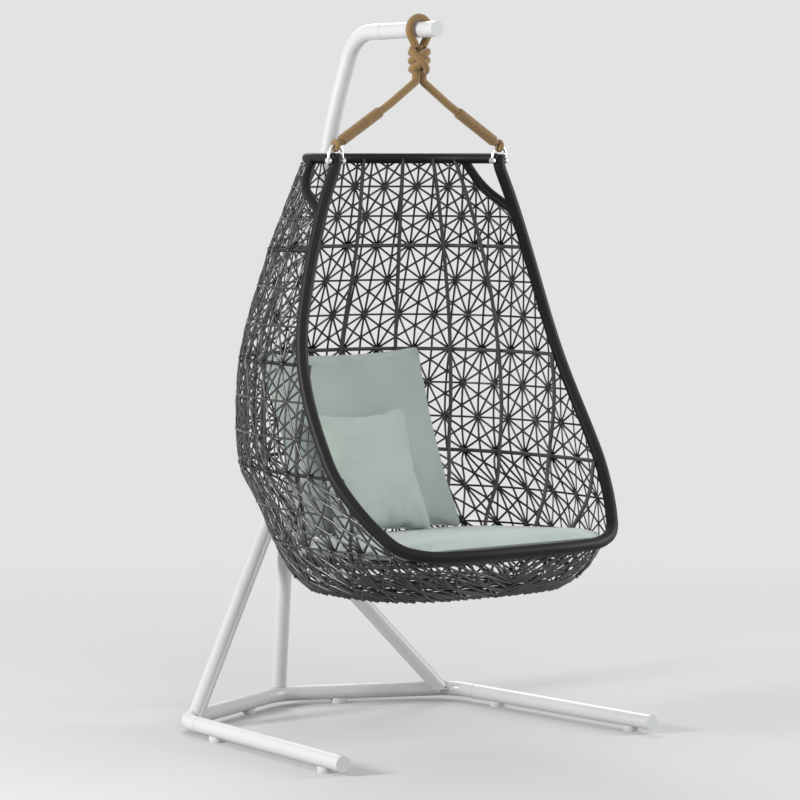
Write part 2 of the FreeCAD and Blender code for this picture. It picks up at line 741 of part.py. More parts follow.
def ring_path():
    """The top ring: an arc at the back, with straight ends that open towards the rim."""
    bend = size.ring_half - size.ring_diameter / 2
    height = level_height("ring")
    centre = Vector(0, size.ring_wide_y, height)
    arm = Vector(size.ring_rim_x, size.ring_rim_y, height) - centre
    angle = math.atan2(arm.y, arm.x) + math.acos(bend / arm.Length)
    touch = centre + Vector(math.cos(angle), math.sin(angle), 0) * bend
    back = centre + Vector(0, bend, 0)
    end = centre + arm + (touch - centre - arm).normalize() * size.ring_setback
    return Part.Wire([Part.makeLine(mirror(end, LEFT), mirror(touch, LEFT)),
                      Part.Arc(mirror(touch, LEFT), back, touch).toShape(),
                      Part.makeLine(touch, end)])


def make_top(rim_room):
    ring = ring_path()
    cope("top_ring", sweep("ring_bar", ring, "Sizes.ring_diameter / 2"), rim_room)
    ring_room = bar_shape(ring, size.ring_diameter / 2 + size.weld_gap)
    height = level_height("ring")
    brace_rooms = []
    for side in (LEFT, RIGHT):
        name = SIDE_NAMES[side] + "_top_brace"
        low = rim_at(height - 164)
        middle = Vector(0.92 * low.x, 0.32 * size.ring_back, height - 88)
        start = Vector(0.97 * (size.ring_half - size.ring_diameter / 2), 0.39 * size.ring_back, height)
        points = [mirror(point, side) for point in (start, middle, low)]
        path = rounded_path(points)
        cope(name, sweep(name + "_bar", path, "Sizes.top_brace_diameter / 2"), rim_room, ring_room)
        brace_rooms.append(bar_shape(path, size.top_brace_diameter / 2 + size.weld_gap))
    return ring_room, brace_rooms


def make_hoops(rim_room):
    """Open hoops behind the mouth, closed ones under the seat; returns the room of the closed ones."""
    for level in ("shoulder", "middle", "lower"):
        height = level_height(level)
        length = outline_length(half_outline(height, hoop_inset, False))
        marks = [index / 8 for index in range(-8, 9)]
        path = rounded_path([on_skin(height, mark * length, hoop_inset) for mark in marks])
        cope(level + "_hoop", sweep(level + "_hoop_bar", path, HOOP_RADIUS), rim_room)
    seat_room = closed_hoop("seat_hoop", seat_loop(seat_hoop_inset))
    pan_room = closed_hoop("pan_hoop", level_loop(pan_hoop_height, hoop_inset + size.pan_hoop_inset))
    return Part.makeCompound([seat_room, pan_room])


def level_loop(height, inset, steps=9):
    """Right half of a level closed loop on the skin, from the back's middle."""
    length = outline_length(half_outline(height, inset, True))
    return [on_skin(height, length * step / steps, inset, True) for step in range(steps + 1)]


def seat_loop(inset, steps=9):
    """The same in the seat's sloping plane."""
    points = []
    for step in range(steps + 1):
        height = seat_hoop_height
        for _ in range(5):
            length = outline_length(half_outline(height, inset, True))
            point = on_skin(height, length * step / steps, inset, True)
            height = seat_hoop_height - (point.y - seat_start.y) * seat_slope
        points.append(Vector(point.x, point.y, height))
    return points


def closed_hoop(name, right):
    left = [mirror(point, LEFT) for point in reversed(right[1:-1])]
    loop = right + left
    start = (loop[0] + loop[1]) * 0.5
    path = rounded_path([start] + loop[1:] + [loop[0], start])
    keep(sweep(name, path, HOOP_RADIUS), name)
    return bar_shape(path, size.hoop_diameter / 2 + size.weld_gap)


# Ribs: distance round the skin from the back's middle, at some heights above the floor's drop.
# Each rib lists its level names with that distance.
BACK_RIBS = (
    (("ring", 52), ("shoulder", 73), ("middle", 93), ("lower", 93), ("seat", 75), ("pan", 66)),
    (("ring", 178), ("shoulder", 215), ("middle", 275), ("lower", 275), ("seat", 195), ("pan", 172)),
    (("ring", 272), ("shoulder", 355), ("middle", 452), ("lower", 455), ("seat", 308), ("pan", 278)),
    (("ring", 345), ("shoulder", 490), ("middle", 632), ("lower", 640), ("seat", 442), ("pan", 402)),
)
SIDE_RIBS = (
    (("middle", 905), ("lower", 850), ("seat", 640), ("pan", 560)),
    (("lower", 1110), ("thigh", 980), ("seat", 830), ("pan", 730)),
)


def rib_path(marks, side):
    levels = [level for level, distance in marks]
    distances = [distance for level, distance in marks]
    top, bottom = level_height(levels[0]), level_height(levels[-1])
    steps = max(3, round((top - bottom) / 110))
    points = []
    for step in range(steps + 1):
        height = top + (bottom - top) * step / steps
        distance = along_levels(levels, distances, height)
        closed = height < level_height("seat")
        length = outline_length(half_outline(height, rib_inset, closed))
        points.append(on_skin(height, side * min(distance, length), rib_inset, closed))
    return rounded_path(points)


def make_ribs(rim_room, ring_room, hoop_rooms):
    for side in (LEFT, RIGHT):
        for number, marks in enumerate(BACK_RIBS, start=1):
            name = f"{SIDE_NAMES[side]}_back_rib_{number}"
            cope(name, sweep(name + "_bar", rib_path(marks, side), HOOP_RADIUS), ring_room, hoop_rooms)
        for number, marks in enumerate(SIDE_RIBS, start=1):
            name = f"{SIDE_NAMES[side]}_side_rib_{number}"
            cope(name, sweep(name + "_bar", rib_path(marks, side), HOOP_RADIUS), rim_room, hoop_rooms)


# Woven skin: straight between its rows and columns, like the stretched strands


def skin_corners(height, closed, facets):
    """Outer and inner corners of the skin at one height, from left to right."""
    outer = half_outline(height, 0, closed)
    room = 0 if closed else size.rim_diameter / 2 + size.skin_gap
    length = outline_length(outer) - room
    right = []
    for index in range(facets + 1):
        point, direction = walk(outer, length * index / facets)
        normal = Vector(-direction.y, direction.x, 0)
        if normal.dot(Vector(point.x, point.y - outline_at(height, "wide_y"), 0)) > 0:
            normal = normal * -1
        if index == 0 or (closed and index == facets):
            normal = Vector(0, math.copysign(1, normal.y), 0)
        inner = point + normal * size.weave_thickness
        right.append((Vector(point.x, point.y, height), Vector(inner.x, inner.y, height)))
    return right


def open_section(height, facets):
    right = skin_corners(height, False, facets)
    outer = [mirror(pair[0], LEFT) for pair in reversed(right)] + [pair[0] for pair in right[1:]]
    inner = [pair[1] for pair in reversed(right)] + [mirror(pair[1], LEFT) for pair in right[1:]]
    corners = outer + inner
    return Part.makePolygon(corners + [corners[0]])


def closed_section(height, facets, inner=False):
    right = [pair[1 if inner else 0] for pair in skin_corners(height, True, facets)]
    corners = right + [mirror(point, LEFT) for point in reversed(right[1:-1])]
    return Part.makePolygon(corners + [corners[0]])


def make_skin_band(name, top, bottom, rows, rooms=(), facets=8):
    sections = [open_section(top + (bottom - top) * row / rows, facets) for row in range(rows + 1)]
    band = feature(name, Part.makeLoft(sections, True, True))
    if rooms:
        cope(name, band, *rooms)
    else:
        keep(band, name)


def make_skin(rim_room, brace_rooms):
    clear = size.weld_gap / 2
    ring_bottom = level_height("ring") - size.ring_diameter / 2 - size.weld_gap
    pan_top = level_height("seat") - size.rim_diameter / 2
    bands = (
        ("crown_weave", ring_bottom, level_height("shoulder"), 2, brace_rooms),
        ("shoulder_weave", level_height("shoulder"), level_height("middle"), 3, ()),
        ("middle_weave", level_height("middle"), level_height("lower"), 3, ()),
        ("lower_weave", level_height("lower"), pan_top, 2, (rim_room,)),
    )
    for name, top, bottom, rows, rooms in bands:
        make_skin_band(name, top - clear, bottom + clear, rows, rooms)
    make_pan(pan_top - clear)


def make_pan(top):
    """The closed weave under the rim: a skirt and the bottom, one dished piece."""
    pan = level_height("pan")
    bottom = level_height("floor")
    outside = Part.makeLoft([closed_section(height, 9) for height in (top, pan, bottom)], True, True)
    inner_floor = bottom + size.weave_thickness
    inside = Part.makeLoft([closed_section(height, 9, True) for height in (top + 1, pan, inner_floor)], True, True)
    keep(feature("pan_weave", outside.cut(inside)), "pan_weave")


def make_seat_panel():
    right = seat_loop(seat_hoop_inset - size.hoop_diameter / 12)
    corners = right + [mirror(point, LEFT) for point in reversed(right[1:-1])]
    outline = Part.makePolygon([corner + seat_up * panel_lift for corner in corners + [corners[0]]])
    keep(feature("seat_weave", Part.Face(outline).extrude(seat_up * size.seat_panel)), "seat_weave")


# Cushions: crowned closed forms with drawn-in sides


def cushion_outline(half_width, half_length, corners, draw, height):
    """Four drawn-in sides and four rounded corners, at one height; corners has the back and front radius."""
    back, front = (min(corner, 0.9 * half_width, 0.9 * half_length) for corner in corners)
    edges = []
    sides = (
        (Vector(1, 0, 0), Vector(0, 1, 0), half_width, half_length, front, back),
        (Vector(0, 1, 0), Vector(-1, 0, 0), half_length, half_width, back, back),
        (Vector(-1, 0, 0), Vector(0, -1, 0), half_width, half_length, back, front),
        (Vector(0, -1, 0), Vector(1, 0, 0), half_length, half_width, front, front),
    )
    lift = UP * height
    for out, along, reach, half, before, after in sides:
        first = out * reach - along * (half - before) + lift
        last = out * reach + along * (half - after) + lift
        edges.append(Part.Arc(first, out * (reach - draw) + lift, last).toShape())
        centre = out * (reach - after) + along * (half - after) + lift
        turn = (out + along).normalize()
        next_first = out * (reach - after) + along * half + lift
        edges.append(Part.Arc(last, centre + turn * after, next_first).toShape())
    return Part.Wire(edges)


def cushion_shape(width, length, thickness, corners, draw, crown):
    """A stack of outlines, narrow at both faces and full at the seam."""
    stack = ((-1, 0.72), (-0.86, 0.88), (-0.5, 0.975), (0, 1.0), (0.5, 0.975), (0.86, 0.88), (1, 0.72))
    wires = []
    for level, share in stack:
        rim = thickness * crown
        half_width = width / 2 - rim * (1 - share)
        half_length = length / 2 - rim * (1 - share)
        wires.append(cushion_outline(half_width, half_length, corners, draw, level * thickness / 2))
    return Part.makeLoft(wires, True, False)


def make_cushions():
    depth = size.rim_diameter / 2 + size.seat_front_gap + size.seat_depth / 2
    seat = feature("seat_cushion", cushion_shape(size.seat_width, size.seat_depth, size.seat_thickness,
                                                 (size.seat_back_corner, size.seat_corner), 6, 0.9))
    middle = seat_start + seat_along * depth + seat_up * (cushion_lift + size.seat_thickness / 2)
    seat.Placement = Placement(middle, Rotation(Vector(1, 0, 0), -size.seat_tilt))
    keep(seat, "seat_cushion")
    seat_top = cushion_lift + size.seat_thickness + size.cushion_gap

    lean = math.radians(size.back_lean)
    upward = Vector(0, math.sin(lean), math.cos(lean))
    forward = Vector(0, -math.cos(lean), math.sin(lean))
    stand_up = Rotation(Vector(1, 0, 0), 90 - size.back_lean)
    back_foot = Vector(size.back_x, size.back_foot_y, seat_start.z + seat_top)
    back = feature("back_cushion", cushion_shape(size.back_width, size.back_length, size.back_thickness,
                                                 (60, 60), 8, 0.8))
    settle(back, back_foot, upward, stand_up, seat_top)
    keep(back, "back_cushion")

    offset = (size.back_thickness + size.pillow_thickness) / 2 + size.cushion_gap
    pillow_foot = back_foot + forward * offset
    pillow_foot.x = size.pillow_x
    pillow = feature("loose_pillow", cushion_shape(size.pillow_width, size.pillow_length,
                                                   size.pillow_thickness, (25, 25), 12, 0.9))
    settle(pillow, pillow_foot, upward, stand_up, seat_top)
    keep(pillow, "loose_pillow")


def settle(cushion, foot, upward, turn, lift):
    """Slides a leaning cushion along its own length until its lowest edge lies on the seat."""
    wide, deep = 4000, 1000
    corner = seat_start - seat_along * wide / 2 - seat_up * deep - Vector(wide / 2, 0, 0)
    plane = Part.makePlane(wide, wide, corner, seat_up, Vector(1, 0, 0))
    cushion.Placement = Placement(foot, turn)
    lowest = cushion.Shape.distToShape(plane)[0] - deep
    cushion.Placement = Placement(foot + upward * ((lift - lowest) / upward.dot(seat_up)), turn)


def make_basket():
    path = rim_path()
    make_rim(path)
    rim_room = bar_shape(path, size.rim_diameter / 2 + size.weld_gap)
    ring_room, brace_rooms = make_top(rim_room)
    hoop_rooms = make_hoops(rim_room)
    make_ribs(rim_room, ring_room, hoop_rooms)
    make_skin(rim_room, brace_rooms)
    make_seat_panel()
    make_cushions()


def check_and_export():
    doc.recompute()
    for obj in doc.Objects:
        if "Invalid" in obj.State or "Error" in obj.State:
            raise RuntimeError(f"{obj.Label} failed: {obj.State}")
    os.makedirs("parts", exist_ok=True)
    for label, obj in nodes.items():
        if obj.Shape.isNull() or not obj.Shape.isValid():
            raise RuntimeError(f"{label} has no valid shape")
        obj.Shape.exportStep(f"parts/{label}.step")
        print(f"{label}: {len(obj.Shape.Solids)} solid, {obj.Shape.Volume / 1000:.1f} cm3")
    print(len(nodes), "nodes")


make_stand()
make_suspension()
make_basket()
check_and_export()
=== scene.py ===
import math
import bmesh
import bpy
from mathutils import Matrix, Vector
from mathutils.bvhtree import BVHTree


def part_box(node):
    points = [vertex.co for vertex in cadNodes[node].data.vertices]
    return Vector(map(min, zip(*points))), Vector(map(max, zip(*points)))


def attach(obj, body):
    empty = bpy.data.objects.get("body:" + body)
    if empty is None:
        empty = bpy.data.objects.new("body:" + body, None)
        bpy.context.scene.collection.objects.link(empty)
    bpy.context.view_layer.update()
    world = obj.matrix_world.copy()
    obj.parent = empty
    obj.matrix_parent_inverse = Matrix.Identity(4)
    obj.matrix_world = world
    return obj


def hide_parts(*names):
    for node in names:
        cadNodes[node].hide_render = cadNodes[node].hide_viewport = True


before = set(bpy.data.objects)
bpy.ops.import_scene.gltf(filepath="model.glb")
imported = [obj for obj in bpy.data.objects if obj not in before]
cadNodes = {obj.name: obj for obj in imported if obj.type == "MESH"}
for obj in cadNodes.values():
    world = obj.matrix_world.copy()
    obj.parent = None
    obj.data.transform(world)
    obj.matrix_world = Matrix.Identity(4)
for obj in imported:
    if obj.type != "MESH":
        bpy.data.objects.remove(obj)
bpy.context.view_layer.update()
up = Vector((0, 0, 1))
print("frame loaded,", len(cadNodes), "nodes")


# shader helpers

class Wire:
    # one value in a shader tree, written like a number

    def __init__(self, tree, socket):
        self.tree = tree
        self.socket = socket

    def maths(self, operation, *others):
        node = self.tree.nodes.new("ShaderNodeMath")
        node.operation = operation
        for place, value in zip(node.inputs, (self,) + others):
            plug(self.tree, value, place)
        return Wire(self.tree, node.outputs[0])

    def __add__(self, other):
        return self.maths("ADD", other)

    def __sub__(self, other):
        return self.maths("SUBTRACT", other)

    def __mul__(self, other):
        return self.maths("MULTIPLY", other)

    def __truediv__(self, other):
        return self.maths("DIVIDE", other)

    def __rsub__(self, other):
        return (self * -1) + other

    def __rtruediv__(self, other):
        return self.power(-1) * other

    __radd__ = __add__
    __rmul__ = __mul__

    def wave(self):
        return self.maths("SINE")

    def size(self):
        return self.maths("ABSOLUTE")

    def power(self, other):
        return self.maths("POWER", other)

    def clamp(self):
        return Nodes(self.tree).node("ShaderNodeClamp", {}, {0: self})


def plug(tree, value, place):
    if isinstance(value, Wire):
        tree.links.new(value.socket, place)
    else:
        place.default_value = value


class Nodes:
    # a node tree, to which every kind of node is added in the same way

    def __init__(self, tree):
        self.tree = tree

    def node(self, kind, settings=None, sockets=None, stops=(), output=0):
        node = self.tree.nodes.new(kind)
        for label, value in (settings or {}).items():
            setattr(node, label, value)
        if stops:
            ramp = node.color_ramp
            while len(ramp.elements) < len(stops):
                ramp.elements.new(0.5)
            for element, (place, colour) in zip(ramp.elements, stops):
                element.position = place
                element.color = (*colour, 1)
        for label, value in (sockets or {}).items():
            plug(self.tree, value, node.inputs[label])
        return Wire(self.tree, node.outputs[output]) if node.outputs else node


class Finish(Nodes):
    # one material with its principled shader

    def __init__(self, name, colour, roughness, **fixed):
        self.material = bpy.data.materials.new(name)
        self.material.use_nodes = True
        super().__init__(self.material.node_tree)
        self.shader = self.tree.nodes["Principled BSDF"]
        self.material.diffuse_color = (*colour, 1)
        self.shader.inputs["Base Color"].default_value = (*colour, 1)
        self.shader.inputs["Roughness"].default_value = roughness
        for label, value in fixed.items():
            self.shader.inputs[label.replace("_", " ")].default_value = value

    def place(self, kind="Object"):
        return self.node("ShaderNodeTexCoord", output=kind)

    def axes(self, vector):
        split = self.node("ShaderNodeSeparateXYZ", {}, {0: vector})
        return [Wire(self.tree, output) for output in split.socket.node.outputs]

    def noise(self, scale, detail=3.0, roughness=0.5, vector=None):
        return self.node("ShaderNodeTexNoise", {}, {
            "Vector": vector or self.place(), "Scale": scale, "Detail": detail,
            "Roughness": roughness})

    def ramp(self, value, stops):
        return self.node("ShaderNodeValToRGB", {}, {"Fac": value}, stops)

    def put(self, label, value):
        plug(self.tree, value, self.shader.inputs[label])

    def bump(self, height, strength, distance):
        self.put("Normal", self.node("ShaderNodeBump", {}, {
            "Height": height, "Strength": strength, "Distance": distance}))


def grey(value, warm=0.0):
    return (value * (1 + warm), value, value * (1 - warm))


def shaded(colour, stops):
    # stops of a ramp, as shares of one colour
    return [(place, tuple(c * share for c in colour)) for place, share in stops]


# materials; cloud and grain are scale, detail and roughness of a noise

looks = {
    "standPaint": {
        "colour": (0.53, 0.535, 0.54), "rough": 0.34,
        "fixed": {"Coat_Weight": 0.15, "Coat_Roughness": 0.2},
        "cloud": (3.0, 4.0, 0.6), "grain": (420.0, 2.0), "shades": ((0.30, 0.955), (0.70, 1)),
        "roughness": ("cloud", 0.30, 0.10), "bump": (0.10, 0.0004)},
    "capPlastic": {
        "colour": (0.53, 0.535, 0.54), "rough": 0.45, "fixed": {},
        "cloud": (30.0,), "grain": (600.0, 2.0), "shades": (),
        "roughness": ("cloud", 0.40, 0.12), "bump": (0.12, 0.0003)},
    "shackleSteel": {
        "colour": (0.78, 0.78, 0.80), "rough": 0.3, "fixed": {"Metallic": 1.0},
        "cloud": (120.0, 4.0, 0.6), "grain": (900.0, 2.0),
        "tone": grey(0.82), "shades": ((0.3, 0.62 / 0.82), (0.7, 1)),
        "roughness": ("cloud", 0.22, 0.22), "bump": (0.08, 0.0002)},
    "weaveStrand": {
        "colour": grey(0.0070, 0.03), "rough": 0.30, "fixed": {"Specular_IOR_Level": 0.85},
        "cloud": (22.0, 3.0, 0.6), "grain": (520.0, 2.0, 0.6),
        "shades": ((0.3, 0.75), (0.7, 1.45)),
        "roughness": ("grain", 0.22, 0.16), "bump": (0.2, 0.0003)},
    "ribPaint": {
        "colour": grey(0.050, 0.05), "rough": 0.5, "fixed": {},
        "cloud": (9.0, 4.0, 0.6), "grain": (700.0, 2.0), "shades": ((0.3, 0.8), (0.72, 1.2)),
        "roughness": ("cloud", 0.42, 0.18), "bump": (0.2, 0.0004)},
    "footRubber": {
        "colour": (0.50, 0.505, 0.51), "rough": 0.7, "fixed": {}, "floorDarkeningHeight": 0.0125,
        "grain": (350.0, 2.0), "shades": ((0.0, 0.85), (0.6, 1)), "bump": (0.2, 0.0004)},
    "ropeBraid": {"colour": (0.250, 0.142, 0.040), "plaits": 8, "pitch": 0.013, "depth": 0.0012},
    "sleeveBraid": {"colour": (0.225, 0.122, 0.034), "plaits": 14, "pitch": 0.008, "depth": 0.0007},
    "rimWrapping": {"colour": grey(0.0045, 0.02), "rough": 0.42},
    "cushionCanvas": {"colour": (0.395, 0.455, 0.415), "thread": 0.0022, "wander": 0.0012},
    "pillowCanvas": {"colour": (0.415, 0.472, 0.432), "thread": 0.0022, "wander": 0.0012},
}


def grainyFinish(name):
    # a slightly cloudy colour, or one that grows darker towards the floor, with a fine grain
    look = looks[name]
    finish = Finish(name, look["colour"], look["rough"], **look["fixed"])
    fields = {"grain": finish.noise(*look["grain"])}
    if "floorDarkeningHeight" in look:
        # the colour grows darker towards the floor, over the foot's lowest part
        fields["cloud"] = (finish.axes(finish.place())[2] / look["floorDarkeningHeight"]).clamp()
    else:
        fields["cloud"] = finish.noise(*look["cloud"])
        field, low, span = look["roughness"]
        finish.put("Roughness", low + fields[field] * span)
    if look["shades"]:
        shades = shaded(look.get("tone", look["colour"]), look["shades"])
        finish.put("Base Color", finish.ramp(fields["cloud"], shades))
    finish.bump(fields["grain"], *look["bump"])
    return finish.material


def ropeFinish(name):
    # braided cover: u runs round the rope, v along it in metres; painted shade in the braid's
    # grooves
    look = looks[name]
    finish = Finish(name, look["colour"], 0.82, Sheen_Weight=0.35, Sheen_Roughness=0.5)
    across, along, _ = finish.axes(finish.place("UV"))
    turns = across * (math.pi * look["plaits"])
    steps = along * (math.pi * 2 / look["pitch"])
    braid = ((turns + steps).wave() * (turns - steps).wave()).size()
    fuzz = finish.noise(900.0, 3.0, 0.7)
    stain = finish.noise(28.0, 4.0, 0.6)
    (_, dark), (_, light) = shaded(look["colour"], ((0, 0.72), (1, 1.22)))
    stained = finish.node("ShaderNodeMix", {"data_type": "RGBA"}, {
        "Factor": stain, "A": (*dark, 1), "B": (*light, 1)}, output=2)
    # painted shade: the colour darkens in the braid's grooves, where the bump is lowest
    grooveShade = finish.ramp(braid, [(0.0, grey(0.55)), (0.45, grey(1.0))])
    finish.put("Base Color", finish.node(
        "ShaderNodeMix", {"data_type": "RGBA", "blend_type": "MULTIPLY"},
        {"Factor": 0.8, "A": stained, "B": grooveShade}, output=2))
    finish.bump(braid + fuzz * 0.3, 0.6, look["depth"])
    return finish.material


def wrapFinish(name):
    # flat strand wound tightly: streaks follow the winding
    look = looks[name]
    finish = Finish(name, look["colour"], look["rough"], Specular_IOR_Level=0.22)
    across, along, _ = finish.axes(finish.place("UV"))
    streak = finish.noise(1.0, 3.0, 0.7, finish.node("ShaderNodeCombineXYZ", {}, {
        "X": across * 6.0, "Y": along * 900.0}))
    tone = streak * 0.6 + finish.noise(14.0, 3.0, 0.55) * 0.4
    finish.put("Base Color", finish.ramp(tone, shaded(
        look["colour"], ((0.25, 0.62), (0.55, 1), (0.85, 1.7)))))
    finish.put("Roughness", look["rough"] + tone * 0.15)
    finish.bump(streak, 0.25, 0.0003)
    return finish.material


def clothFinish(name):
    # plain outdoor canvas: crossing threads, soft mottling, light fuzz; painted shade in the gaps
    # between threads
    look = looks[name]
    finish = Finish(name, look["colour"], 0.9, Sheen_Weight=0.25, Sheen_Roughness=0.6)
    x, y, z = finish.axes(finish.place())
    pitch = math.pi * 2 / look["thread"]
    warp = ((x + finish.noise(40.0) * look["wander"]) * pitch).wave().size()
    weft = (((y + z) * 0.7071 + finish.noise(43.0) * look["wander"]) * pitch).wave().size()
    mottle = finish.noise(7.0, 4.0, 0.6)
    slub = finish.noise(160.0, 2.0, 0.6)
    # the mottling and slubs are the cloth's own tone; the threads' share is painted shade, darker
    # in the gaps between them
    tone = mottle * 0.55 + slub * 0.25 + warp * 0.1 + weft * 0.1
    finish.put("Base Color", finish.ramp(tone, shaded(
        look["colour"], ((0.30, 0.86), (0.50, 1), (0.70, 1.08)))))
    finish.bump(warp * weft + slub * 0.4, 0.35, 0.0005)
    return finish.material


paintLook = grainyFinish("standPaint")
capLook = grainyFinish("capPlastic")
footLook = grainyFinish("footRubber")
steelLook = grainyFinish("shackleSteel")
ropeLook = ropeFinish("ropeBraid")
sleeveLook = ropeFinish("sleeveBraid")
wrapLook = wrapFinish("rimWrapping")
strandLook = grainyFinish("weaveStrand")
ribLook = grainyFinish("ribPaint")
cushionLook = clothFinish("cushionCanvas")
pillowLook = clothFinish("pillowCanvas")
print("materials made")


# mesh helpers

def dress(piece, look, body):
    piece.data.materials.clear()
    piece.data.materials.append(look)
    for face in piece.data.polygons:
        face.use_smooth = True
    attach(piece, body)


def addObject(name, data):
    piece = bpy.data.objects.new(name, data)
    bpy.context.scene.collection.objects.link(piece)
    return piece


def meshPiece(name, points, faces, uvs):
    mesh = bpy.data.meshes.new(name)
    mesh.from_pydata(points, [], faces)
    layer = mesh.uv_layers.new(name="UVMap")
    for loop, uv in zip(layer.data, uvs):
        loop.uv = uv
    return addObject(name, mesh)


def finishedPiece(name, mesh, look, body, slotName, *nodes):
    # a piece from its points, faces and uvs, in place of the solids it shows
    piece = meshPiece(name, *mesh)
    if nodes:
        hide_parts(*nodes)
    dress(piece, look, body)
    return piece


def routePoints(controls):
    # the smooth line of a NURBS spline through its control points
    curve = bpy.data.curves.new("route", "CURVE")
    curve.dimensions = "3D"
    spline = curve.splines.new("NURBS")
    spline.points.add(len(controls) - 1)
    for point, control in zip(spline.points, controls):
        point.co = (*control, 1)
    spline.order_u = 3
    spline.use_endpoint_u = True
    spline.resolution_u = 24
    holder = addObject("route", curve)
    mesh = bpy.data.meshes.new_from_object(holder)
    points = [vertex.co.copy() for vertex in mesh.vertices]
    bpy.data.objects.remove(holder)
    bpy.data.curves.remove(curve)
    bpy.data.meshes.remove(mesh)
    return points


def runLengths(points):
    # how far along the line each point is
    lengths = [0.0]
    for first, second in zip(points, points[1:]):
        lengths.append(lengths[-1] + (second - first).length)
    return lengths


def pointAlong(points, lengths, distance):
    index = 0
    while index < len(lengths) - 2 and lengths[index + 1] < distance:
        index += 1
    span = lengths[index + 1] - lengths[index] or 1e-9
    return points[index].lerp(points[index + 1], (distance - lengths[index]) / span)


def evenly(points, step):
    # the same line with its points a step apart
    lengths = runLengths(points)
    count = max(2, round(lengths[-1] / step))
    return [pointAlong(points, lengths, lengths[-1] * number / count)
            for number in range(count + 1)]


def frames(points):
    # at each point the line's direction and two sides that don't twist along it
    out = []
    side = None
    for index in range(len(points)):
        before, after = points[max(index - 1, 0)], points[min(index + 1, len(points) - 1)]
        along = (after - before).normalized()
        if side is None:
            side = up.cross(along)
            if side.length < 1e-4:
                side = Vector((1, 0, 0)).cross(along)
        side = (side - along * side.dot(along)).normalized()
        out.append((along, side, along.cross(side)))
    return out


def roundedLine(points, share=0.45):
    # straight runs with arcs, as large as the runs allow
    out = [points[0].copy()]
    for before, corner, after in zip(points, points[1:], points[2:]):
        toBefore = (before - corner).normalized()
        toAfter = (after - corner).normalized()
        halfTurn = (math.pi - toBefore.angle(toAfter)) / 2
        setback = share * min((before - corner).length, (after - corner).length)
        if halfTurn < 1e-4:
            continue
        radius = setback / math.tan(halfTurn)
        first, last = corner + toBefore * setback, corner + toAfter * setback
        centre = corner + (toBefore + toAfter).normalized() * (radius / math.cos(halfTurn))
        a, b = first - centre, last - centre
        for step in range(9):
            turn = a.slerp(b, step / 8) * radius if a.angle(b) > 1e-4 else a
            out.append(centre + turn)
    out.append(points[-1].copy())
    return out


def sidesOf(direction):
    # two sides of a direction
    side = direction.orthogonal().normalized()
    return side, direction.cross(side).normalized()


def circlePoints(centre, side, other, radius, count):
    return [centre + (side * math.cos(angle) + other * math.sin(angle)) * radius
            for angle in [2 * math.pi * step / count for step in range(count + 1)]]


def ringFaces(rings, around):
    # the faces that join rings of points, one after the other
    return [(ring + step, ring + (step + 1) % around, ring + (step + 1) % around + around,
             ring + step + around)
            for ring in range(0, (rings - 1) * around, around) for step in range(around)]


def tubeMesh(points, radius, around=12, ridge=0.0, pitch=0.006, lead=1, ends=True):
    # a round bar along a line, with wound ridges; u round it, v metres along it
    corners, uvs = [], []
    runs = runLengths(points)
    for point, run, (_, side, other) in zip(points, runs, frames(points)):
        for step in range(around):
            angle = 2 * math.pi * step / around
            reach = radius
            if ridge:
                phase = run / pitch - lead * step / around
                reach -= ridge * (1 - abs(math.sin(math.pi * phase)) ** 0.6)
            corners.append(point + (side * math.cos(angle) + other * math.sin(angle)) * reach)
    last = len(points) - 1
    faces = ringFaces(last + 1, around)
    for low, high in zip(runs, runs[1:]):
        for step in range(around):
            left, right = step / around, (step + 1) / around
            uvs += [(left, low), (right, low), (right, high), (left, high)]
    if ends:
        for ring, sign in ((0, -1), (last, 1)):
            along = (points[min(ring + 1, last)] - points[max(ring - 1, 0)]).normalized()
            tip = len(corners)
            corners.append(points[ring] + along * sign * radius * 0.05)
            for step in range(around):
                a, b = ring * around + step, ring * around + (step + 1) % around
                faces.append((b, a, tip) if sign < 0 else (a, b, tip))
                uvs += [(step / around, runs[ring])] * 3
    return corners, faces, uvs


def joined(parts):
    # several meshes as one list of points, faces and uvs
    points, faces, uvs = [], [], []
    for corners, polygons, places in parts:
        shift = len(points)
        points += corners
        faces += [tuple(index + shift for index in polygon) for polygon in polygons]
        uvs += places
    return points, faces, uvs


# the basket's outline, as in the solids, in metres; one value for each level,
# which are the ring, shoulder, middle, lower, thigh, seat, pan and floor

basket = {
    "height": (1.742, 1.471, 1.143, 0.825, 0.715, 0.606, 0.508, 0.460),
    "half": (0.308, 0.408, 0.487, 0.510, 0.489, 0.465, 0.417, 0.366),
    "back": (0.379, 0.440, 0.553, 0.572, 0.462, 0.366, 0.300, 0.240),
    "wide": (0.071, 0.030, -0.020, -0.150, -0.120, -0.085, -0.075, -0.065),
    "front": (0.500, 0.438, 0.366),
    "rimX": (0.308, 0.403, 0.484, 0.501, 0.462, 0.404),
    "rimY": (0.002, -0.014, -0.072, -0.252, -0.342, -0.424),
    "ringSquare": 2.0,
    "shellSquare": 2.5,
    "frontSquare": 3.3,
    "rimTop": 0.012,
    "rimKnee": 0.021,
    "rimStep": 0.110,
    "ringEnd": 0.012,
    "rimCorner": (0.78, 0.45, 0.55),    # shares of the corner's x and y and of the front
    "rimFront": (0.40, 0.985),
    "rimRadius": 0.018,
    "ringRadius": 0.016,
    "braceRadius": 0.014,
    "braceStart": (0.97, 0.39),
    "braceMiddle": (0.92, 0.32, 0.088),
    "braceDrop": 0.164,
}
ringHeight, seatHeight, floorHeight = (basket["height"][level] for level in (0, 5, 7))


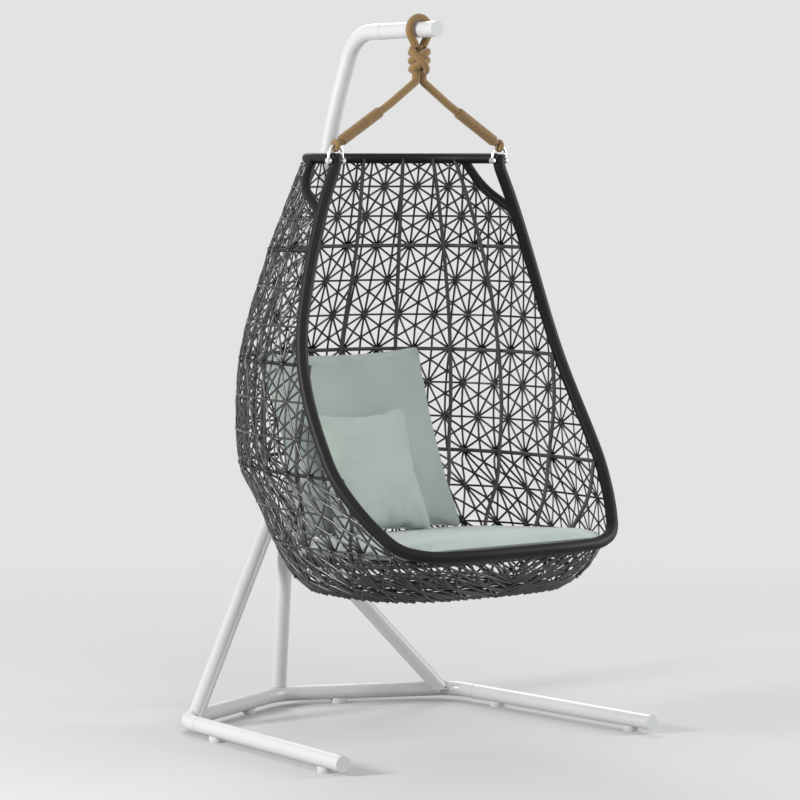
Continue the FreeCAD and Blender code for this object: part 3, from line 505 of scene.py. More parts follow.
def alongLevels(heights, values, height):
    last = len(heights) - 1
    slopes = []
    for index in range(last + 1):
        low, high = max(index - 1, 0), min(index + 1, last)
        slopes.append((values[high] - values[low]) / (heights[high] - heights[low]))
    index = 0
    while index < last - 1 and height < heights[index + 1]:
        index += 1
    span = heights[index + 1] - heights[index]
    t = (height - heights[index]) / span
    return ((2 * t ** 3 - 3 * t ** 2 + 1) * values[index]
            + (t ** 3 - 2 * t ** 2 + t) * span * slopes[index]
            + (3 * t ** 2 - 2 * t ** 3) * values[index + 1]
            + (t ** 3 - t ** 2) * span * slopes[index + 1])


def outlineAt(height, word):
    heights = basket["height"]
    if word in ("rimX", "rimY"):
        heights = heights[:6]
    if word == "front":
        return -alongLevels(heights[5:], basket[word], height)
    return alongLevels(heights, basket[word], height)


def rimAt(height):
    return Vector((outlineAt(height, "rimX"), outlineAt(height, "rimY"), height))


def quarterTurn(half, depth, wide, power, height, steps=40):
    # from the middle line round to the widest place
    points = []
    for step in range(steps + 1):
        angle = math.pi / 2 * step / steps
        points.append(Vector((half * math.sin(angle) ** (2 / power),
                              wide + depth * max(math.cos(angle), 0) ** (2 / power), height)))
    return points


outlineCache = {}


def halfOutline(height, inset, closed):
    # the right half from the back's middle to the rim, or to the front's middle
    key = (round(height, 5), round(inset, 5), closed)
    if key not in outlineCache:
        half = outlineAt(height, "half") - inset
        wide = outlineAt(height, "wide")
        depth = outlineAt(height, "back") - wide - inset
        share = min(1, (ringHeight - height) / (ringHeight - basket["height"][1]))
        power = basket["ringSquare"] + share * (basket["shellSquare"] - basket["ringSquare"])
        points = quarterTurn(half, depth, wide, power, height)
        if closed:
            front = wide - outlineAt(height, "front") - inset
            points += reversed(quarterTurn(half, -front, wide, basket["frontSquare"], height)[:-1])
        else:
            rim = rimAt(height)
            points.append(Vector((rim.x - inset, rim.y, height)))
        outlineCache[key] = points, runLengths(points)
    return outlineCache[key]


def onSkin(height, distance, inset, closed):
    # a point on the basket; distance runs from the back's middle, negative to the left
    points, lengths = halfOutline(height, inset, closed)
    point = pointAlong(points, lengths, min(abs(distance), lengths[-1]))
    return Vector((math.copysign(point.x, distance), point.y, height))


# woven skin: stars of twelve spokes, all along straight strands

weave = {
    "rows": (1.745, 1.655, 1.563, 1.471, 1.362, 1.252, 1.143,
             1.036, 0.929, 0.825, 0.717, 0.610, 0.503, 0.420),
    "spacingHeights": (1.745, 1.471, 1.143, 0.825, 0.503, 0.420),
    "spacing": (0.098, 0.106, 0.116, 0.117, 0.110, 0.108),
    "bands": (("crownStrands", "crown_weave", 0.18, 3.0),
              ("shoulderStrands", "shoulder_weave", 3.0, 6.0),
              ("middleStrands", "middle_weave", 6.0, 9.0),
              ("lowerStrands", "lower_weave", 9.0, 11.0),
              ("panStrands", "pan_weave", 11.0, 12.5)),
    "across": 14,               # columns to each side
    "strandWidth": 0.0072,
    "strandThickness": 0.0044,
    "shortestStrand": 0.008,
    "knotSize": 0.0072,
    "skinDepth": 0.0035,
    "pastRim": 0.002,
    "pastBrace": 0.004,
    "openWay": 0.02,            # above the crescent's upper end
    "flatSpacing": 0.110,
}
layerOffset = {"row": -0.0013, "column": 0.0013, "leanRight": -0.0005, "leanLeft": 0.0005,
               "flatRight": 0.0010, "flatLeft": -0.0010}


def rowHeight(v):
    rows = weave["rows"]
    index = min(max(int(math.floor(v)), 0), len(rows) - 2)
    return rows[index] + (rows[index + 1] - rows[index]) * (v - index)


def spacingAt(height):
    heights, values = weave["spacingHeights"], weave["spacing"]
    for index in range(len(heights) - 1):
        if height >= heights[index + 1] or index == len(heights) - 2:
            share = (heights[index] - height) / (heights[index] - heights[index + 1])
            return values[index] + (values[index + 1] - values[index]) * share


def strandLines(low, high):
    # every strand as a name and a list of lattice places (column, row)
    across, quarter = weave["across"], 0.25
    rows = [low + quarter * step for step in range(round((high - low) / quarter) + 1)]
    lines = []
    for row in range(math.ceil(low), math.floor(high) + 1):
        columns = [number * quarter for number in range(-4 * across, 4 * across + 1)]
        lines.append(("row", [(column, row) for column in columns]))
    for number in range(-2 * across, 2 * across + 1):
        lines.append(("column", [(number / 2, row) for row in rows]))
    for name, slope in (("leanRight", 0.5), ("leanLeft", -0.5),
                        ("flatRight", 1.5), ("flatLeft", -1.5)):
        for number in range(-across - 22, across + 23):
            lines.append((name, [(number + slope * row, row) for row in rows]))
    return lines


def braceLine():
    # the right top brace, from the ring to the rim
    low = rimAt(ringHeight - basket["braceDrop"])
    back = basket["back"][0]
    out, deep = basket["braceStart"]
    start = Vector((out * (basket["half"][0] - basket["ringRadius"]), deep * back, ringHeight))
    out, deep, drop = basket["braceMiddle"]
    return roundedLine([start, Vector((out * low.x, deep * back, ringHeight - drop)), low])


def braceLimits():
    # how far from the back's middle the strands may run beside the open crescent
    marks = []
    for point in evenly(braceLine(), 0.008):
        points, lengths = halfOutline(point.z, weave["skinDepth"], False)
        nearest = min(range(len(points)), key=lambda index: (points[index] - point).length)
        marks.append((point.z, lengths[nearest] + weave["pastBrace"]))
    return marks


crescent = braceLimits()


def reachAt(height):
    if height < crescent[-1][0] or height > crescent[0][0] + weave["openWay"]:
        return math.inf
    return min(crescent, key=lambda mark: abs(mark[0] - height))[1]


def skinPlace(column, row, offset, closedBelow):
    # a lattice place on the skin, or nothing beyond the rim
    height = rowHeight(row)
    closed = height < closedBelow
    distance = column * spacingAt(height)
    length = halfOutline(height, weave["skinDepth"], closed)[1][-1]
    if abs(distance) > min(length + weave["pastRim"], reachAt(height)):
        return None
    return onSkin(height, distance, weave["skinDepth"] + offset, closed)


def between(first, second, share):
    return [a + (b - a) * share for a, b in zip(first, second)]


def edgePlace(inside, outside, offset, closedBelow):
    # where a strand meets the rim, between a place inside and one outside
    low, high = 0.0, 1.0
    for _ in range(7):
        middle = (low + high) / 2
        if skinPlace(*between(inside, outside, middle), offset, closedBelow) is None:
            high = middle
        else:
            low = middle
    return skinPlace(*between(inside, outside, low), offset, closedBelow)


def clippedRuns(line, offset, closedBelow):
    # the parts of a strand that lie on the skin
    runs, run, before = [], [], None
    for place in line:
        point = skinPlace(*place, offset, closedBelow)
        if point is not None:
            if not run and before is not None:
                run.append(edgePlace(place, before, offset, closedBelow))
            run.append(point)
        elif run:
            run.append(edgePlace(before, place, offset, closedBelow))
            runs.append(run)
            run = []
        before = place
    if run:
        runs.append(run)
    return [run for run in runs
            if len(run) > 1 and (run[0] - run[-1]).length > weave["shortestStrand"]]


def strandMesh(points, outward):
    # a flat oval strand of six sides along a line
    corners, faces, uvs = [], [], []
    width, thick = weave["strandWidth"] / 2, weave["strandThickness"] / 2
    shape = [(math.cos(a), math.sin(a)) for a in [math.pi * (2 * k + 1) / 6 for k in range(6)]]
    runs = runLengths(points)
    for index, point in enumerate(points):
        before, after = points[max(index - 1, 0)], points[min(index + 1, len(points) - 1)]
        along = (after - before).normalized()
        side = along.cross(outward(point)).normalized()
        normal = side.cross(along)
        corners += [point + side * a * width + normal * b * thick for a, b in shape]
    for ring in range(len(points) - 1):
        for step in range(6):
            a, b = ring * 6 + step, ring * 6 + (step + 1) % 6
            faces.append((a, a + 6, b + 6, b))
            uvs += [(step / 6, runs[ring]), (step / 6, runs[ring + 1]),
                    ((step + 1) / 6, runs[ring + 1]), ((step + 1) / 6, runs[ring])]
    last = (len(points) - 1) * 6
    faces += [tuple(range(6)), tuple(range(last + 5, last - 1, -1))]
    uvs += [(0, 0)] * 12
    return corners, faces, uvs


def fromMiddle(point):
    middle = Vector((0, -0.02 if point.z < 0.9 else 0.05, point.z))
    return (point - middle).normalized()


def knotMesh(centre, normal, size):
    # the lashing at a star's middle: a low dome with a waist, inside and outside
    side, other = sidesOf(normal)
    corners, around = [], 8
    rings = ((-0.62, 0.45), (-0.35, 0.92), (0.0, 1.0), (0.35, 0.92), (0.62, 0.45))
    for level, reach in rings:
        for step in range(around):
            angle = 2 * math.pi * (step + level) / around
            bulge = reach * (1.0 if step % 2 else 0.82)
            out = side * math.cos(angle) + other * math.sin(angle)
            corners.append(centre + normal * level * size + out * size * bulge)
    last = (len(rings) - 1) * around
    faces = ringFaces(len(rings), around)
    faces += [tuple(reversed(range(around))), tuple(range(last, last + around))]
    return corners, faces, [(0.0, 0.0)] * sum(len(face) for face in faces)


def skinBand(name, node, low, high, closedBelow):
    parts = []
    for family, line in strandLines(low, high):
        for run in clippedRuns(line, layerOffset[family], closedBelow):
            parts.append(strandMesh(run, fromMiddle))
    # the knots of a band's last row belong to the band below it
    for row in range(math.ceil(low), math.ceil(high)):
        for number in range(-weave["across"], weave["across"] + 1):
            column = number + (0.5 if row % 2 else 0.0)
            place = skinPlace(column, row, 0.0, closedBelow)
            if place is not None:
                parts.append(knotMesh(place, fromMiddle(place), weave["knotSize"]))
    finishedPiece(name, joined(parts), strandLook, "basket", "weave", node)
    print(name, "made of", len(parts), "strands and knots")


def makeSkin():
    for name, node, low, high in weave["bands"]:
        closedBelow = seatHeight + 0.005 if node == "pan_weave" else 0.0
        skinBand(name, node, low, high, closedBelow)


def crossings(outline, start, direction):
    # how far along a flat line it crosses the outline
    hits = []
    for (ax, ay), (bx, by) in zip(outline, outline[1:] + outline[:1]):
        ex, ey = bx - ax, by - ay
        bottom = direction[0] * ey - direction[1] * ex
        if abs(bottom) > 1e-12:
            share = ((ax - start[0]) * direction[1] - (ay - start[1]) * direction[0]) / bottom
            if 0 <= share < 1:
                hits.append(((ax - start[0]) * ey - (ay - start[1]) * ex) / bottom)
    return sorted(hits)


def flatLattice(half, height):
    # the same stars laid flat, cut to an outline whose right half is given
    outline = [(p.x, p.y) for p in half] + [(-p.x, p.y) for p in reversed(half)]
    spacing = weave["flatSpacing"]
    rise = spacing * math.sqrt(3) / 2
    families = ((0, rise, "row"), (90, spacing / 2, "column"),
                (60, rise, "leanRight"), (-60, rise, "leanLeft"),
                (30, spacing / 2, "flatRight"), (-30, spacing / 2, "flatLeft"))
    parts = []
    for angle, gap, name in families:
        turn = math.radians(angle)
        direction = (math.cos(turn), math.sin(turn))
        for number in range(-weave["across"], weave["across"] + 1):
            start = (-direction[1] * gap * number, direction[0] * gap * number)
            hits = crossings(outline, start, direction)
            if len(hits) > 1:
                ends = [Vector((start[0] + direction[0] * t, start[1] + direction[1] * t,
                                height + layerOffset[name])) for t in (hits[0], hits[-1])]
                parts.append(strandMesh(evenly(ends, 0.12), lambda point: up))
    for row in range(-6, 7):
        for number in range(-6, 7):
            x, y = spacing * (number + (0.5 if row % 2 else 0)), rise * row
            if sum(1 for t in crossings(outline, (x, y), (1, 0)) if t > 0) % 2:
                parts.append(knotMesh(Vector((x, y, height)), up, weave["knotSize"]))
    return parts


seatPlane = {
    "front": -0.500,
    "height": 0.582,
    "tilt": math.radians(3.8),      # down to the back
    "lift": 0.0103,
    "inset": 0.0446,
}
floorPanel = {"outlineHeight": 0.462, "inset": 0.004, "lift": 0.004}


def onSeatPlane(y):
    return seatPlane["height"] - (y - seatPlane["front"]) * math.tan(seatPlane["tilt"])


def seatLoop(steps=40):
    # the basket's outline in the seat's sloping plane
    points = []
    for step in range(steps + 1):
        height = seatPlane["height"]
        for _ in range(4):
            length = halfOutline(height, seatPlane["inset"], True)[1][-1]
            point = onSkin(height, length * step / steps, seatPlane["inset"], True)
            height = onSeatPlane(point.y)
        points.append(point)
    return points


def makeSeatPanel():
    corners, faces, uvs = joined(flatLattice(seatLoop(), seatPlane["lift"]))
    sloped = [Vector((p.x, p.y, p.z + onSeatPlane(p.y))) for p in corners]
    finishedPiece("seatLattice", (sloped, faces, uvs), strandLook, "basket", "seat_weave",
                  "seat_weave")


def makeFloorPanel():
    half = halfOutline(floorPanel["outlineHeight"], floorPanel["inset"], True)[0]
    parts = flatLattice(half, floorHeight + floorPanel["lift"])
    finishedPiece("floorLattice", joined(parts), strandLook, "basket", "weave")


# wound tubes; proud is how far the winding stands over the solid

windings = {
    "rim": {"ridge": 0.0015, "pitch": 0.0062, "around": 18, "step": 0.0021, "proud": 0.0003},
    "ring": {"ridge": 0.0013, "pitch": 0.0058, "around": 16, "step": 0.0020, "proud": 0.0003},
    "brace": {"ridge": 0.0008, "pitch": 0.0056, "around": 14, "step": 0.0019, "proud": 0.0},
}


def rimRoute():
    marks = basket["height"][:5]
    heights = [ringHeight + basket["rimTop"], ringHeight - basket["rimKnee"]]
    for upper, lower in zip(marks, marks[1:]):
        steps = max(1, round((upper - lower) / basket["rimStep"]))
        heights += [upper + (lower - upper) * step / steps for step in range(1, steps + 1)]
    points = [rimAt(min(height, ringHeight)) for height in heights]
    points[0].z = heights[0]
    points[1].x, points[1].y = points[0].x, points[0].y
    cornerX, cornerY, front = basket["rimX"][5], basket["rimY"][5], basket["front"][0]
    points.append(Vector((cornerX, cornerY, seatHeight + 0.2 * (marks[-1] - seatHeight))))
    a, b, c = basket["rimCorner"]
    points.append(Vector((a * cornerX, b * cornerY - c * front, seatHeight)))
    a, b = basket["rimFront"]
    points.append(Vector((a * cornerX, -b * front, seatHeight)))
    return [Vector((-p.x, p.y, p.z)) for p in points] + list(reversed(points))


def woundTube(name, points, word, nodes, slotName):
    spec = windings[word]
    radius = basket[word + "Radius"] + spec["proud"]
    tube = tubeMesh(evenly(points, spec["step"]), radius, spec["around"], spec["ridge"],
                    spec["pitch"], lead=2)
    finishedPiece(name, tube, wrapLook, "basket", slotName, *nodes)


def makeRim():
    nodes = ["left_rim", "right_rim", "front_rim"]
    woundTube("rimWinding", roundedLine(rimRoute()), "rim", nodes, "wrapped_rim")


def makeTop():
    bend = basket["half"][0] - basket["ringRadius"]
    centre = Vector((0, basket["wide"][0], ringHeight))
    arm = Vector((basket["rimX"][0], basket["rimY"][0], ringHeight)) - centre
    angle = math.atan2(arm.y, arm.x) + math.acos(bend / arm.length)
    touch = centre + Vector((math.cos(angle), math.sin(angle), 0)) * bend
    end = centre + arm + (touch - centre - arm).normalized() * basket["ringEnd"]
    arc = [centre + Vector((math.cos(a), math.sin(a), 0)) * bend
           for a in [angle + (math.pi - 2 * angle) * step / 60 for step in range(61)]]
    points = [end] + arc + [Vector((-end.x, end.y, end.z))]
    woundTube("ringWinding", points, "ring", ["top_ring"], "wrapped_tube")
    for side, word in ((-1, "left"), (1, "right")):
        line = [Vector((side * p.x, p.y, p.z)) for p in braceLine()]
        woundTube(word + "BraceWinding", line, "brace", [word + "_top_brace"], "wrapped_tube")


# rope, knot and sleeves

rope = {
    "radius": 0.012,
    "armHeight": 2.124,
    "tubeRadius": 0.024,
    "loopGap": 0.0003,
    "loopEnds": 0.62,           # share of the way down to the point of the noose
    "knotTop": 0.044,
}
knot = {
    "turns": 2.4,
    "coil": 0.0232,
    "start": 0.6,
    "uneven": 0.035,
    "tilt": 0.0075,
    "tiltStart": 0.652,
    "bottomRoom": 0.007,
    "topRoom": 0.005,
    "facing": (-0.607, -0.795, 0),
    "across": (0.795, -0.607, 0),
    # the crossing strand: degrees from the facing side, reach, level and height over it
    "crossing": ((-80, 0.019, 1.0, 0.004), (-55, 0.029, 1.0, -0.003), (-15, 0.0315, 0.5, 0.009),
                 (25, 0.0315, 0.5, -0.010), (60, 0.028, 0.0, -0.002), (85, 0.018, 0.0, -0.007)),
}
legs = {
    "rootX": 0.0123,
    "stub": 0.024,
    "straight": 0.016,          # down from the knot before the legs spread
    "kneeX": 0.112,
    "kneeDrop": 0.223,
    "pin": (0.308, 0.002, 1.735),
    "bowHeight": 0.045,
    "eye": 0.0123,              # from the bow to the end of the leg
    "ringRadius": 0.0122,
    "ringThickness": 0.0078,
}
sleeve = {
    "radius": 0.0168,
    "start": 0.0384,
    "stop": 0.008,
    "hems": (0.010, 0.006),
    "hemShrink": 0.20,
    "seam": 0.072,
    "seamWidth": 0.0016,
    "seamDepth": 0.12,
    "puff": 0.012,
}


def makeLoop():
    bend = rope["tubeRadius"] + rope["loopGap"] + rope["radius"]
    half = math.asin(0.5)
    axis = Vector((0, 0, rope["armHeight"]))
    tip = axis + Vector((0, 0, -2 * bend))
    ends = []
    for side in (-1, 1):
        touch = axis + Vector((side * bend * math.cos(half), 0, -bend * math.sin(half)))
        ends.append(touch + (tip - touch) * rope["loopEnds"])
    turns = [math.pi + half - (math.pi + 2 * half) * step / 48 for step in range(49)]
    arc = [axis + Vector((bend * math.cos(a), 0, bend * math.sin(a))) for a in turns]
    line = evenly([ends[0]] + arc + [ends[1]], 0.003)
    finishedPiece("ropeNoose", tubeMesh(line, rope["radius"], 20), ropeLook, "loop", "rope",
                  "rope_loop")


def makeKnot():
    # turns that lean up to the right, and a strand that crosses over them
    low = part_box("rope_knot")[0][2]
    high = rope["armHeight"] - rope["knotTop"]
    radius = rope["radius"]
    bottom = low + radius + knot["bottomRoom"]
    top = high - radius * 0.75 - knot["topRoom"]
    steps = round(12 * knot["turns"])
    controls = []
    for step in range(steps + 1):
        share = step / (12 * knot["turns"])
        angle = 2 * math.pi * knot["turns"] * share + knot["start"]
        reach = knot["coil"] * (1 + knot["uneven"] * math.sin(angle * 1.7))
        height = (bottom + (top - bottom) * share
                  + knot["tilt"] * math.cos(angle + knot["tiltStart"]))
        controls.append(Vector((reach * math.cos(angle), reach * math.sin(angle), height)))
    parts = [tubeMesh(evenly(routePoints(controls), 0.003), radius * 0.985, 18)]
    core = [Vector((0, 0, low + 0.0015)), Vector((0.001, 0, (low + high) / 2)),
            Vector((0, 0, high - 0.002))]
    parts.append(tubeMesh(evenly(routePoints(core), 0.004), radius * 0.98, 16))
    for side in (-1, 1):
        root = Vector((side * legs["rootX"], 0, low))
        parts.append(tubeMesh(evenly([root, root + up * legs["stub"]], 0.004), radius, 20))
    facing, across = Vector(knot["facing"]), Vector(knot["across"])
    cross = []
    for turn, reach, level, rise in knot["crossing"]:
        angle = math.radians(turn)
        cross.append((facing * math.cos(angle) + across * math.sin(angle)) * reach
                     + up * (bottom + (top - bottom) * level + rise))
    parts.append(tubeMesh(evenly(routePoints(cross), 0.003), radius * 0.86, 16))
    finishedPiece("ropeKnot", joined(parts), ropeLook, "knot", "rope", "rope_knot")


def sleeveMesh(start, stop):
    # a cover with a soft hem at each end and a seam part way down
    line = evenly([start, stop], 0.002)
    length = (stop - start).length
    corners, faces, uvs = tubeMesh(line, sleeve["radius"], 24, ends=False)
    for ring, middle in enumerate(line):
        run = length * ring / (len(line) - 1)
        ease = min(1, run / sleeve["hems"][0], (length - run) / sleeve["hems"][1])
        hem = 1 - sleeve["hemShrink"] * (1 - math.sin(ease * math.pi / 2))
        away = (run - sleeve["seam"]) / sleeve["seamWidth"]
        seam = 1 - sleeve["seamDepth"] * math.exp(-away ** 2)
        puff = 1 + sleeve["puff"] * math.sin(run * 150) * math.sin(run * 61)
        for place in range(ring * 24, ring * 24 + 24):
            corners[place] = middle + (corners[place] - middle) * hem * seam * puff
    return corners, faces, uvs


def makeLegs():
    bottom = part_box("rope_knot")[0][2]
    pinX, pinY, pinHeight = legs["pin"]
    for side, word in ((-1, "left"), (1, "right")):
        root = Vector((side * legs["rootX"], 0, bottom - 0.0002))
        knee = Vector((side * legs["kneeX"], 0, rope["armHeight"] - legs["kneeDrop"]))
        crown = Vector((side * pinX, pinY, pinHeight + legs["bowHeight"]))
        eye = crown + Vector((-side * 0.002, 0, 0.002))
        down = (eye - knee).normalized()
        end = eye - down * legs["eye"]
        bend = root - up * legs["straight"]
        line = routePoints([root, root - up * 0.006, bend, bend.lerp(knee, 0.2),
                            bend.lerp(knee, 0.75), knee, knee.lerp(end, 0.3), end])
        ring = circlePoints(crown, Vector((0, 1, 0)), up, legs["ringRadius"], 24)
        leg = joined([tubeMesh(evenly(line, 0.003), rope["radius"], 20),
                      tubeMesh(ring, legs["ringThickness"], 14, ends=False)])
        finishedPiece(word + "RopeLeg", leg, ropeLook, "sling", "rope", word + "_rope_leg")
        cover = sleeveMesh(knee + down * sleeve["start"], end - down * sleeve["stop"])
        finishedPiece(word + "RopeSleeve", cover, sleeveLook, "sling", "rope_sleeve",
                      word + "_rope_sleeve")


# cushions; section is how flat the middle is, cap how far the cloth may swell

cushions = {
    "seat": {"node": "seat_cushion", "width": 0.790, "length": 0.675, "thick": 0.060,
             "corners": (0.125, 0.220), "draw": 0.003, "ruffle": 0.0, "section": 9.0,
             "crown": 0.006, "voxel": 0.009, "pressure": 1.5, "cap": 0.010,
             "piping": 0.0026, "fill": 0.75, "along": 0.3855, "lift": 0.0146},
    "back": {"node": "back_cushion", "width": 0.608, "length": 0.572, "thick": 0.085,
             "corners": (0.020, 0.020), "draw": 0.010, "ruffle": 0.003, "section": 4.5,
             "crown": 0.0, "voxel": 0.009, "pressure": 1.2, "cap": 0.012,
             "piping": 0.0022, "fill": 0.7, "lean": math.radians(22)},
    "pillow": {"node": "loose_pillow", "width": 0.350, "length": 0.372, "thick": 0.125,
               "corners": (0.014, 0.014), "draw": 0.012, "ruffle": 0.008, "section": 3.4,
               "crown": 0.0, "voxel": 0.007, "pressure": 1.0, "cap": 0.012,
               "piping": 0.0024, "fill": 0.65, "lean": math.radians(22)},
}
cushionFoot = {"height": 0.11, "spread": 0.36}
cushionCloth = {"quality": 4, "mass": 0.3, "tension_stiffness": 12, "compression_stiffness": 12,
                "bending_stiffness": 0.6, "use_pressure": True}


def cushionPlace(spec):
    if "lean" in spec:
        low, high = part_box(spec["node"])
        turn = Matrix.Rotation(math.pi / 2 - spec["lean"], 4, "X")
        return Matrix.Translation((Vector(low) + Vector(high)) / 2) @ turn
    tilt = seatPlane["tilt"]
    middle = (Vector((0, seatPlane["front"], seatPlane["height"]))
              + Vector((0, math.cos(tilt), -math.sin(tilt))) * spec["along"]
              + Vector((0, math.sin(tilt), math.cos(tilt))) * (spec["lift"] + spec["thick"] / 2))
    return Matrix.Translation(middle) @ Matrix.Rotation(-tilt, 4, "X")


def cushionEdge(width, length, corners, draw, count):
    # the seam: rounded corners, front and back, and sides that draw in between them
    halfW, halfL = width / 2, length / 2
    front, back = corners
    points = []
    sides = (((1, 0), (0, 1), halfW, halfL, front, back),
             ((0, 1), (-1, 0), halfL, halfW, back, back),
             ((-1, 0), (0, -1), halfW, halfL, back, front),
             ((0, -1), (1, 0), halfL, halfW, front, front))
    for out, along, reach, half, before, after in sides:
        for step in range(count):
            t = -1 + 2 * step / count
            far = reach - draw * (1 - t * t)
            run = before - half + (2 * half - before - after) * step / count
            points.append([o * far + a * run for o, a in zip(out, along)])
        middle = [o * (reach - after) + a * (half - after) for o, a in zip(out, along)]
        for step in range(count // 2):
            turn = math.pi / 2 * step / (count // 2)
            points.append([m + after * (o * math.cos(turn) + a * math.sin(turn))
                           for m, o, a in zip(middle, out, along)])
    return points


def flatPad(name, spec):
    # a pad whose section is full in the middle and thins towards the seam
    edge = cushionEdge(spec["width"], spec["length"], spec["corners"], spec["draw"], 14)
    edge = [(x * (1 + spec["ruffle"] * math.sin(1.9 * index)),
             y * (1 + spec["ruffle"] * math.sin(2.3 * index)))
            for index, (x, y) in enumerate(edge)]
    rings, count, half = 12, len(edge), spec["thick"] / 2
    layers = []
    for ring in range(rings + 1):
        share = 1 - (ring / rings) ** 1.6
        rise = half * (1 - share ** spec["section"]) ** 0.7 + spec["crown"] * (1 - share)
        layers.append([(x * share, y * share, rise) for x, y in edge]
                      if ring < rings else [(0, 0, rise)])
    work = bmesh.new()
    verts = {}
    for sign in (1, -1):
        for ring, layer in enumerate(layers):
            for index, (x, y, z) in enumerate(layer):
                if ring == 0 and sign == -1:
                    verts[sign, ring, index] = verts[1, 0, index]
                else:
                    height = z if sign > 0 else -min(z, half)
                    verts[sign, ring, index] = work.verts.new((x, y, height))
        for ring in range(rings):
            for index in range(count):
                following = (index + 1) % count
                face = [verts[sign, ring, index], verts[sign, ring, following]]
                if ring < rings - 1:
                    face += [verts[sign, ring + 1, following], verts[sign, ring + 1, index]]
                else:
                    face.append(verts[sign, rings, 0])
                work.faces.new(face[::sign])
    bmesh.ops.recalc_face_normals(work, faces=work.faces)
    mesh = bpy.data.meshes.new(name)
    work.to_mesh(mesh)
    work.free()
    return addObject(name, mesh)


def swell(pad, spec):
    # cloth blown up a little, so that it crowns and puckers at the seam
    remesh = pad.modifiers.new("remesh", "REMESH")
    remesh.mode = "VOXEL"
    remesh.voxel_size = spec["voxel"]
    bpy.ops.object.select_all(action="DESELECT")
    pad.select_set(True)
    bpy.context.view_layer.objects.active = pad
    bpy.ops.object.modifier_apply(modifier="remesh")
    start = [vertex.co.copy() for vertex in pad.data.vertices]
    cloth = pad.modifiers.new("cloth", "CLOTH")
    for label, value in cushionCloth.items():
        setattr(cloth.settings, label, value)
    cloth.settings.uniform_pressure_force = spec["pressure"]
    cloth.settings.effector_weights.gravity = 0
    cloth.point_cache.frame_start = 1
    cloth.point_cache.frame_end = 20
    for number in range(1, 21):
        bpy.context.scene.frame_set(number)
    shape = pad.evaluated_get(bpy.context.evaluated_depsgraph_get()).to_mesh()
    moved = [vertex.co.copy() for vertex in shape.vertices]
    pad.modifiers.remove(cloth)
    bpy.context.scene.frame_set(1)
    for vertex, old, new in zip(pad.data.vertices, start, moved):
        shift = new - old
        if shift.length > spec["cap"]:
            shift = shift.normalized() * spec["cap"]
        vertex.co = old + shift
    smooth = pad.modifiers.new("smooth", "SMOOTH")
    smooth.factor = 0.5
    smooth.iterations = 4
    bpy.ops.object.modifier_apply(modifier="smooth")


def fitTo(pad, wanted):
    # the swollen pad fills its solid's room exactly
    for axis in range(3):
        values = [vertex.co[axis] for vertex in pad.data.vertices]
        low, high = min(values), max(values)
        for vertex in pad.data.vertices:
            vertex.co[axis] = (vertex.co[axis] - (low + high) / 2) * wanted[axis] / (high - low)


def seamCord(name, pad, spec):
    # the seam's cord lies on the swollen pad
    tree = BVHTree.FromObject(pad, bpy.context.evaluated_depsgraph_get())
    seam = []
    wider = [corner + 0.02 for corner in spec["corners"]]
    for x, y in cushionEdge(spec["width"] + 0.05, spec["length"] + 0.05, wider, spec["draw"], 22):
        hit, _, _, _ = tree.find_nearest(Vector((x, y, 0)))
        if hit is not None:
            seam.append(Vector((hit.x, hit.y, 0.35 * hit.z)))
    seam.append(seam[0].copy())
    for _ in range(3):
        middle = [(a + b * 2 + c) / 4 for a, b, c in zip(seam, seam[1:], seam[2:])]
        seam = [seam[0]] + middle + [seam[-1]]
    return meshPiece(name, *tubeMesh(evenly(seam, 0.006), spec["piping"], 8, ends=False))


def sitDown(piece, spec):
    # the soft lower edge of a leaning cushion spreads down onto the seat
    for vertex in piece.data.vertices:
        rise = vertex.co.y + spec["length"] / 2
        share = max(0, 1 - rise / cushionFoot["height"]) ** 2
        vertex.co.y -= share * cushionFoot["spread"] * (vertex.co.z + spec["thick"] / 2)


def makeCushion(word, look):
    spec = cushions[word]
    pad = flatPad(word + "Cushion", spec)
    swell(pad, spec)
    fitTo(pad, (spec["width"], spec["length"], spec["thick"]))
    welt = seamCord(word + "Piping", pad, spec)
    for piece in (pad, welt):
        if "lean" in spec:
            sitDown(piece, spec)
        piece.data.transform(cushionPlace(spec))
    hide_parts(spec["node"])
    dress(pad, look, "basket")
    dress(welt, look, "basket")
    print(pad.name, len(pad.data.polygons), "faces")


# stand: the solids are shown, and the welds and joints added

stand = {
    "tube": 0.024,
    "axis": 0.036,              # height of the floor tubes' middle
    "rear": (0.528, 0.492),
    "mastFoot": 0.735,
    "front": (0.581, -0.400),
    "runnerJoint": 0.100,
    "mastBend": (0.641, 1.101),
    "armJoint": (0.175, 2.124),
    "braceFoot": (0.478, 0.503),
    "braceTop": 0.592,          # height at which the braces meet behind the mast
    "braceBehind": 0.0483,
    "braceBend": 0.060,
    "seamRadius": 0.0242,
    "weld": (0.0030, 0.0005, 0.0045),       # bead, ridges on it and their pitch
    "runnerSeam": (0.0010, 0.0003, 0.004),
    "armSeam": (0.0008, 0.0003, 0.004),
}


def weldBead(name, point, direction, railPoint, railDirection):
    # the bead where a tube meets another round tube
    flatWay = direction - railDirection * direction.dot(railDirection)
    line = []
    for spot in circlePoints(point, *sidesOf(direction), stand["tube"], 72):
        relative = spot - railPoint
        flatSpot = relative - railDirection * relative.dot(railDirection)
        a = flatWay.dot(flatWay)
        b = 2 * flatSpot.dot(flatWay)
        c = flatSpot.dot(flatSpot) - stand["tube"] ** 2
        root = max(b * b - 4 * a * c, 0) ** 0.5
        line.append(spot + direction * ((-b + root) / (2 * a)))
    standRing(name, evenly(line, 0.0014), "weld")


def seamRing(name, centre, direction, kind):
    standRing(name, circlePoints(centre, *sidesOf(direction), stand["seamRadius"], 90), kind)


